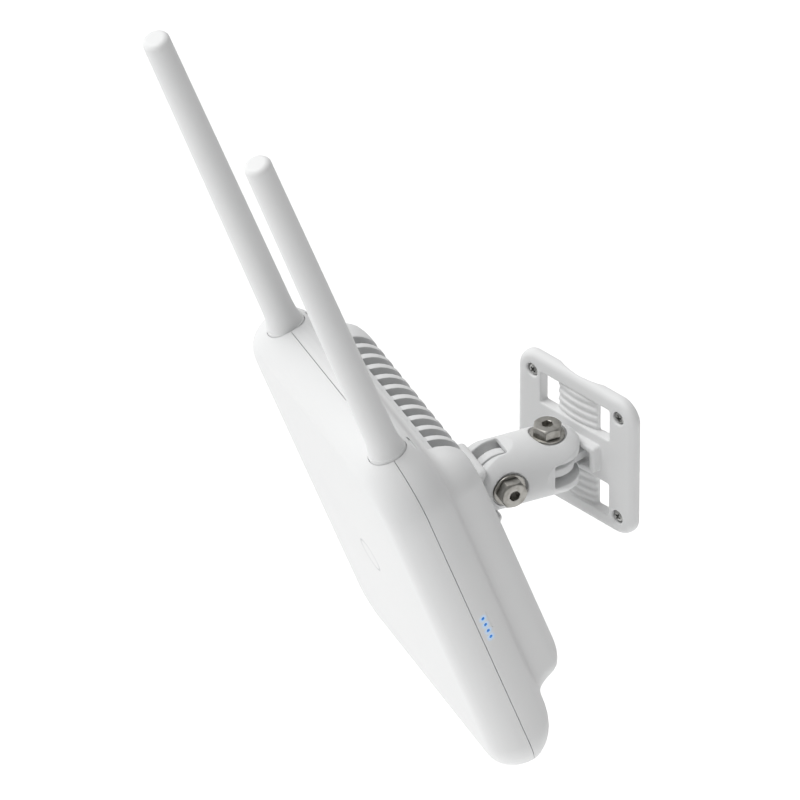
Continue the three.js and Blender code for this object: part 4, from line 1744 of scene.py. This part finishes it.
    def _small_cuts(self) -> list[Form]:
        """Makes the cutters of the port, fittings, lights and slots."""
        cuts = [
            Form().block((-9, 16.3, -62), (9, 29.3, -47)).soften(1.5, 4, 30.0, self._along_z),
            Form().rod(Axis.Z, 2.5, -60, -44, BUTTON_AT, 40),
            Form().rod(Axis.Z, 3.3, -60, -46, VENT_AT, 40),
            Form().rod(Axis.Z, 2.1, -60, -46.5, GROUND_AT, 32),
        ]
        for x in (-BRACKET_SCREW_X, BRACKET_SCREW_X):
            for z in BRACKET_SCREW_Z:
                cuts.append(Form().rod(Axis.Y, 2.3, 25, 50, (x, 0, z), 32))
        for z in LIGHTS.rows():
            cuts.append(Form().rod(Axis.X, LIGHTS.hole, 76, 90, (0, LIGHTS.depth, z), 28))
        cuts.append(LIGHTS.slit())
        for side in (-1, 1):
            middle = AERIAL.across * side
            slot = Form().block((middle - 4.8, 12.1, 97.2), (middle + 4.8, 13.3, 112))
            cuts.append(slot.soften(0.55, 3, 30.0, self._along_z))
        return cuts

    @staticmethod
    def _along_z(edge: bmesh.types.BMEdge) -> bool:
        """Tells whether an edge runs along the panel."""
        return abs(edge.verts[0].co.z - edge.verts[1].co.z) > 1


@dataclass(frozen=True)
class StatusLights:
    """The row of four small lights in the panel's right-hand side.

    Attributes:
        depth: How far they are behind the seam.
        centre: The middle of the row, along the panel.
        pitch: Distance between them.
        count: How many there are.
        pin: Radius of each light.
        hole: Radius of the hole that each shows through.
        face: The x of each light's end.
    """

    depth: float = 4.4
    centre: float = -1.7
    pitch: float = 4.1
    count: int = 4
    pin: float = 0.86
    hole: float = 0.92
    face: float = 84.6

    def rows(self) -> list[float]:
        """Gives each light's place along the panel."""
        return [self.centre + (i - (self.count - 1) / 2) * self.pitch for i in range(self.count)]

    def points(self) -> tuple[tuple[float, float, float], ...]:
        """Gives each light's place in the object's frame, in metres."""
        local = [Vector((self.face, self.depth, z)) * MM for z in self.rows()]
        return tuple(tuple(PLACES.panel @ point) for point in local)

    def slit(self) -> Form:
        """Makes the cutter of the shallow slit beside the lights."""
        slit = Form().block((83.4, 6.7, self.centre - 2.1), (90, 7.5, self.centre + 8.9))
        return slit.soften(0.3, 2, 30.0, lambda edge: abs(edge.verts[0].co.x - edge.verts[1].co.x) > 1)

    def guide(self) -> Form:
        """Makes the light guide, a bar with a domed pin for each light."""
        first, last = self.rows()[0], self.rows()[-1]
        bar = Form().block((79.2, self.depth - 0.9, first - 1.6), (80.9, self.depth + 0.9, last + 1.6))
        pins = Form()
        for z in self.rows():
            pin = Form().turned([(0, 80.0), (self.pin, 80.0), (self.pin, self.face - 0.25),
                                 (self.pin * 0.72, self.face - 0.06), (0, self.face)], 24, Axis.X)
            pins.join(pin.close().turn(Matrix.Translation((0, self.depth, z))))
        return Workshop.boolean(bar, pins, Cut.JOIN)


LIGHTS = StatusLights()
BRACKET_SCREW_X = 17.0
BRACKET_SCREW_Z = (-28.0, 34.0)

# Where the vent, the reset button and the ground screw stand in the port face, across and back.
VENT_AT = (-22, 21.4, 0)
BUTTON_AT = (22, 18.8, 0)
GROUND_AT = (32, 21, 0)


@dataclass
class PanelBracket:
    """The casting screwed to the panel's back, with the tongue of the tilt knuckle."""

    coat: bpy.types.Material
    half_width: float = 22.0
    low: float = -40.0
    high: float = 46.0
    corner: float = 8.0
    foot: float = 35.5
    top: float = 38.5
    block_half: float = 14.5
    block: tuple[float, float] = (-14.0, 20.8)
    block_tops: tuple[float, float] = (45.5, 48.3)
    pivot: tuple[float, float, float] = (0.0, 53.7, 3.4)
    grain: float = 0.38

    def build(self) -> None:
        """Builds the bracket and places it."""
        _, depth, height = self.pivot
        web = KNUCKLE.web
        saddle = Form().rod(Axis.X, KNUCKLE.saddle, -40, 40, self.pivot, 160)
        base = Workshop.boolean(self._base(), saddle, Cut.AWAY)
        base.block((-web, self.foot + 0.5, height - 11), (web, depth, height + 11))
        for low in (-5.9, 3.4):
            base.block((low, self.foot + 0.5, height - 9), (low + 2.5, depth - 9, height + 9))
        base.join(tongue(Axis.X, self.pivot))
        holes = bolt_hole(Axis.X, self.pivot)
        for x in (-BRACKET_SCREW_X, BRACKET_SCREW_X):
            for z in BRACKET_SCREW_Z:
                holes.rod(Axis.Y, 2.3, 30, 50, (x, 0, z), 40)
        base = Workshop.boolean(base, holes, Cut.AWAY)
        skin = Workshop.cast(base, self.grain, 3)
        dress = Dress(self.coat, "painted_casting", Body.PANEL, 50.0)
        place_piece("panel_bracket_casting", skin, PLACES.panel, dress, ["panel_bracket"])

    def _base(self) -> Form:
        """Makes the base with the block that the arm's end swings in."""
        base = Form().plate((-self.half_width, self.low), (self.half_width, self.high),
                            (self.corner, self.corner), (self.foot, self.top), 12)
        base.soften(1.0, 3, 60.0, lambda edge: all(vert.co.y > self.top - 0.01 for vert in edge.verts))
        (low, high), (top_low, top_high) = self.block, self.block_tops
        block = Form().block((-self.block_half, self.foot + 0.2, low), (self.block_half, top_low, high))

        def sloped(co: Vector) -> Vector:
            """Lifts the block's back towards its upper end."""
            lifted = co.y > top_low - 0.1 and co.z > 0
            return Vector((co.x, top_high, co.z)) if lifted else co

        block.shift(sloped).soften(3.4, 6)
        return Workshop.boolean(base, block, Cut.JOIN)


@dataclass
class PortFittings:
    """What stands in the port face: bung, reset button, vent and ground screw."""

    rubber: bpy.types.Material
    brass: bpy.types.Material

    def build(self) -> None:
        """Builds the four fittings."""
        soft = Dress(self.rubber, "rubber", Body.PANEL)
        place_piece("port_bung_moulding", self._bung(), PLACES.panel, soft, ["port_bung"])
        vent = Form().turned([(0, -57), (3.6, -57), (4.6, -56.7), (5, -56.1), (5, -55.3), (3, -55.3),
                              (3, -49), (0, -49)], 56)
        for turn in range(6):
            groove = Form().block((2.0, -0.3, -58), (4.2, 0.3, -56.6))
            groove.turn(Matrix.Rotation(turn * FULL_TURN / 6, 4, "Z"))
            vent = Workshop.boolean(vent.close(), groove, Cut.AWAY)
        vent.turn(Matrix.Translation(VENT_AT))
        place_piece("vent_plug_moulding", vent, PLACES.panel, soft, ["vent_plug"])
        button = Form().turned([(0, -56.4), (1.2, -56.36), (1.8, -56.1), (2.2, -55.5), (2.2, -46),
                                (0, -46)], 40)
        button.close().turn(Matrix.Translation(BUTTON_AT))
        pressed = Dress(self.rubber, "rubber", Body.RESET)
        place_piece("reset_button_cap", button, PLACES.panel, pressed, ["reset_button"])
        screw = CrossScrew(3.5, 1.8, -57.6, -55.3, -47.0).form()
        stand = Matrix.Translation(GROUND_AT) @ Matrix.Rotation(math.radians(90), 4, "X")
        metal = Dress(self.brass, "brass", Body.PANEL, 30.0)
        place_piece("ground_screw_pan_head", screw.turn(stand), PLACES.panel, metal, ["ground_screw"])

    def _bung(self) -> Form:
        """Makes the bung that closes the network port, with a tab to pull it by."""
        lay = Matrix.Rotation(math.radians(90), 4, "X")
        bung = Form().plate((-8.7, -29), (8.7, -16.6), (2, 2), (-56, -49), 6).turn(lay)
        flange = Form().plate((-10.5, -30.6), (10.5, -16.1), (3, 3), (-58, -55.3), 8).turn(lay)
        flange.soften(0.7, 3, 60.0)
        tab = Form().block((-4, 21, -61), (4, 25, -57)).soften(1.0, 4)
        bung = Workshop.boolean(bung, flange, Cut.JOIN)
        return Workshop.boolean(bung, tab, Cut.JOIN)


# ------------------------------------------------------------------ aerials

@dataclass
class Aerials:
    """The two rod aerials that stand in the panel's top."""

    plastic: bpy.types.Material
    sides: int = 72

    def build(self) -> None:
        """Builds both sleeves."""
        for side, name, body in ((-1, "left", Body.ANTENNA_LEFT), (1, "right", Body.ANTENNA_RIGHT)):
            dress = Dress(self.plastic, "cover_plastic", body, 40.0)
            sleeve = self._sleeve().turn(Matrix.Translation((AERIAL.across * side, AERIAL.depth, 0)))
            place_piece(f"antenna_{name}_rod", sleeve, PLACES.panel, dress, [f"antenna_{name}_sleeve"])

    def _outside(self) -> list[Point]:
        """Gives the outside from the foot up, as pairs of radius and height."""
        foot, top = AERIAL.foot_deep, AERIAL.foot_top
        points = [(foot, AERIAL.foot_bottom), (foot, top - 0.5), (foot - 0.12, top - 0.15),
                  (foot - 0.4, top)]
        reach, steps, start = 15.0, 14, foot - 0.4
        for index in range(1, steps + 1):
            share = index / steps
            points.append((AERIAL.base_radius + (start - AERIAL.base_radius) * (1 - share) ** 2.6,
                           top + reach * share ** 1.1))
        for index in range(13):
            angle = math.radians(90) * index / 12
            points.append((AERIAL.tip_radius - AERIAL.tip_round * (1 - math.cos(angle)),
                           AERIAL.tip - AERIAL.tip_round * (1 - math.sin(angle))))
        return points

    def _sleeve(self) -> Form:
        """Makes one sleeve on the axis, hollow from its foot."""
        outside = self._outside()
        inside = [(AERIAL.bore, AERIAL.foot_bottom), (AERIAL.bore, AERIAL.tip - 4)]
        profile = [*reversed(inside), *outside]
        form = Form().turned([(0, AERIAL.tip - 2.5), *profile, (0, AERIAL.tip)], self.sides)
        squeeze = AERIAL.foot_wide / AERIAL.foot_deep

        def oval(co: Vector) -> Vector:
            """Narrows the foot across the panel, fading out up the rod."""
            share = min(1.0, max(0.0, (AERIAL.foot_top + 9.0 - co.z) / 9.0))
            away = math.hypot(co.x, co.y)
            if away < AERIAL.bore + 0.3:
                return co
            return Vector((co.x * (1 - (1 - squeeze) * share), co.y, co.z))

        return form.close().shift(oval)


# ------------------------------------------------------------------ what stays as the CAD made it

@dataclass
class Insides:
    """The boards and small parts that keep their CAD shape and get a finish."""

    board: bpy.types.Material
    tin: bpy.types.Material
    brass: bpy.types.Material
    rubber: bpy.types.Material
    pad: bpy.types.Material

    def dress(self) -> None:
        """Gives each carried-over node its finish."""
        for name, node in frame["nodes"].items():
            finish = self._finish(name)
            if finish is None:
                continue
            node.data.materials.clear()
            node.data.materials.append(finish)
            LOG.info("%s: kept, in %s", name, finish.name)

    def _finish(self, name: str) -> bpy.types.Material | None:
        """Chooses a node's finish by what it is.

        Args:
            name: The node's name.

        Returns:
            The finish, or nothing where a modelled piece replaces the node.
        """
        endings = {
            ("_board", "_radiator"): self.board,
            ("_radio", "_processor"): self.tin,
            ("_jack", "_switch"): self.tin,
            ("_connector", "_socket"): self.brass,
            ("_seal", "_gasket"): self.rubber,
        }
        if name.startswith("thermal_pad"):
            return self.pad
        if name.startswith("coax"):
            return self.rubber
        for tails, finish in endings.items():
            if name.endswith(tails):
                return finish
        return None


# ------------------------------------------------------------------ studio

@dataclass
class Studio:
    """The floor, the light and the camera."""

    target: tuple[float, float, float] = (-0.0532, -0.0699, 0.0311)
    reach: float = 0.381
    lens: float = 800.0
    sensor: float = 36.0
    floor_drop: float = 0.55
    key_from: tuple[float, float, float] = (-0.6, -0.8, 2.1)
    key_size: float = 1.4
    key_power: float = 28.0
    brighter_towards: tuple[float, float, float] = (-0.92, -0.28, 0.0)
    brighter_by: float = 0.58
    brightness: float = 0.68

    def build(self) -> None:
        """Sets the studio up."""
        self._camera()
        self._floor()
        self._light()
        self._world()
        view = bpy.context.scene.view_settings
        view.view_transform, view.look = "Standard", "None"

    def _camera(self) -> None:
        """Makes the camera, level with an isometric view from the front, right and above."""
        data = bpy.data.cameras.new("camera")
        data.lens, data.sensor_width = self.lens, self.sensor
        data.clip_start, data.clip_end = 0.05, 200.0
        camera = bpy.data.objects.new("camera", data)
        back = Vector((1, -1, 1)).normalized()
        distance = self.reach * self.lens / self.sensor
        camera.location = Vector(self.target) + back * distance
        camera.rotation_euler = back.to_track_quat("Z", "Y").to_euler()
        bpy.context.scene.collection.objects.link(camera)
        bpy.context.scene.camera = camera

    def _floor(self) -> None:
        """Makes the pale floor."""
        bench = Bench("studio_floor")
        grain = bench.noise(30.0, 2.0)
        finish = bench.surface(
            Base_Color=bench.blend((0.93, 0.93, 0.93), (0.95, 0.95, 0.95), grain),
            Emission_Color=(1.0, 1.0, 1.0), Emission_Strength=0.42, Roughness=0.9)
        bm = bmesh.new()
        bmesh.ops.create_grid(bm, x_segments=1, y_segments=1, size=14.0,
                              matrix=Matrix.Translation((0, 0, -self.floor_drop)))
        mesh = bpy.data.meshes.new("floor")
        bm.to_mesh(mesh)
        bm.free()
        mesh.materials.append(finish)
        floor = bpy.data.objects.new("floor", mesh)
        bpy.context.scene.collection.objects.link(floor)

    def _light(self) -> None:
        """Hangs a wide soft light high over the front left."""
        data = bpy.data.lights.new("key", "AREA")
        data.shape, data.size, data.energy = "DISK", self.key_size, self.key_power
        key = bpy.data.objects.new("key", data)
        aim = Vector(self.key_from)
        key.location = Vector(self.target) + aim
        key.rotation_euler = aim.to_track_quat("Z", "Y").to_euler()
        bpy.context.scene.collection.objects.link(key)

    def _world(self) -> None:
        """Surrounds the object with white that is brighter on its left, and plain to the camera."""
        world = bpy.data.worlds.new("studio")
        world.use_nodes = True
        tree = world.node_tree
        tree.nodes.clear()
        place = tree.nodes.new("ShaderNodeTexCoord")
        lean = tree.nodes.new("ShaderNodeVectorMath")
        lean.operation = "DOT_PRODUCT"
        lean.inputs[1].default_value = self.brighter_towards
        level = tree.nodes.new("ShaderNodeMath")
        level.operation = "MULTIPLY_ADD"
        level.inputs[1].default_value = self.brighter_by
        level.inputs[2].default_value = self.brightness
        path = tree.nodes.new("ShaderNodeLightPath")
        choose = tree.nodes.new("ShaderNodeMix")
        choose.inputs["B"].default_value = 1.0
        background = tree.nodes.new("ShaderNodeBackground")
        output = tree.nodes.new("ShaderNodeOutputWorld")
        links = [
            (place.outputs["Generated"], lean.inputs[0]),
            (lean.outputs["Value"], level.inputs[0]),
            (level.outputs[0], choose.inputs["A"]),
            (path.outputs["Is Camera Ray"], choose.inputs["Factor"]),
            (choose.outputs["Result"], background.inputs["Strength"]),
            (background.outputs[0], output.inputs[0]),
        ]
        for start, end in links:
            tree.links.new(start, end)
        bpy.context.scene.world = world


# ------------------------------------------------------------------ assembly


def main() -> None:
    """Builds the studio and every piece, in order."""
    logging.basicConfig(level=logging.INFO, format="%(message)s")
    Studio().build()
    front = PLACES.panel @ (Vector((0, -18, 0)) * MM)
    plastic = MouldedPlastic().build()
    marked = MarkedPlastic(centre=tuple(front)).build()
    coat = PowderCoat().build()
    # This coat carries the painted shade between the rear housing's fins.
    lit_coat = PowderCoat(name="powder_coat_by_lights", glows=LIGHTS.points(), fins=PaintedFinShade()).build()
    steel = Metal("bolt_steel", (0.40, 0.39, 0.365), (0.30, 0.29, 0.265)).build()
    zinc = Metal("zinc_plate", (0.50, 0.50, 0.49), (0.38, 0.38, 0.37), 0.3).build()
    tin = Metal("tinned_sheet", (0.62, 0.63, 0.64), (0.5, 0.51, 0.52), 0.28).build()
    brass = Metal("machined_brass", (0.72, 0.52, 0.22), (0.55, 0.38, 0.15), 0.27).build()
    rubber = Rubber("black_silicone", (0.02, 0.021, 0.022), (0.07, 0.07, 0.07)).build()
    pad = Rubber("thermal_pad", (0.22, 0.30, 0.42), (0.35, 0.42, 0.5), 0.85).build()
    board = CircuitBoard().build()
    lens = LitLens().build()

    WallPlate(coat).build()
    ArmBarrel(coat).build()
    KnuckleBolts(steel).build()
    Screws(zinc).build()
    FrontCover(marked).build()
    RearHousing(lit_coat).build()
    place_piece("status_light_guide", LIGHTS.guide(), PLACES.panel,
                Dress(lens, "light_guide", Body.PANEL), ["led_light_guide"])
    PanelBracket(coat).build()
    PortFittings(rubber, brass).build()
    Aerials(plastic).build()
    Insides(board, tin, brass, rubber, pad).dress()


if __name__ == "__main__":
    main()
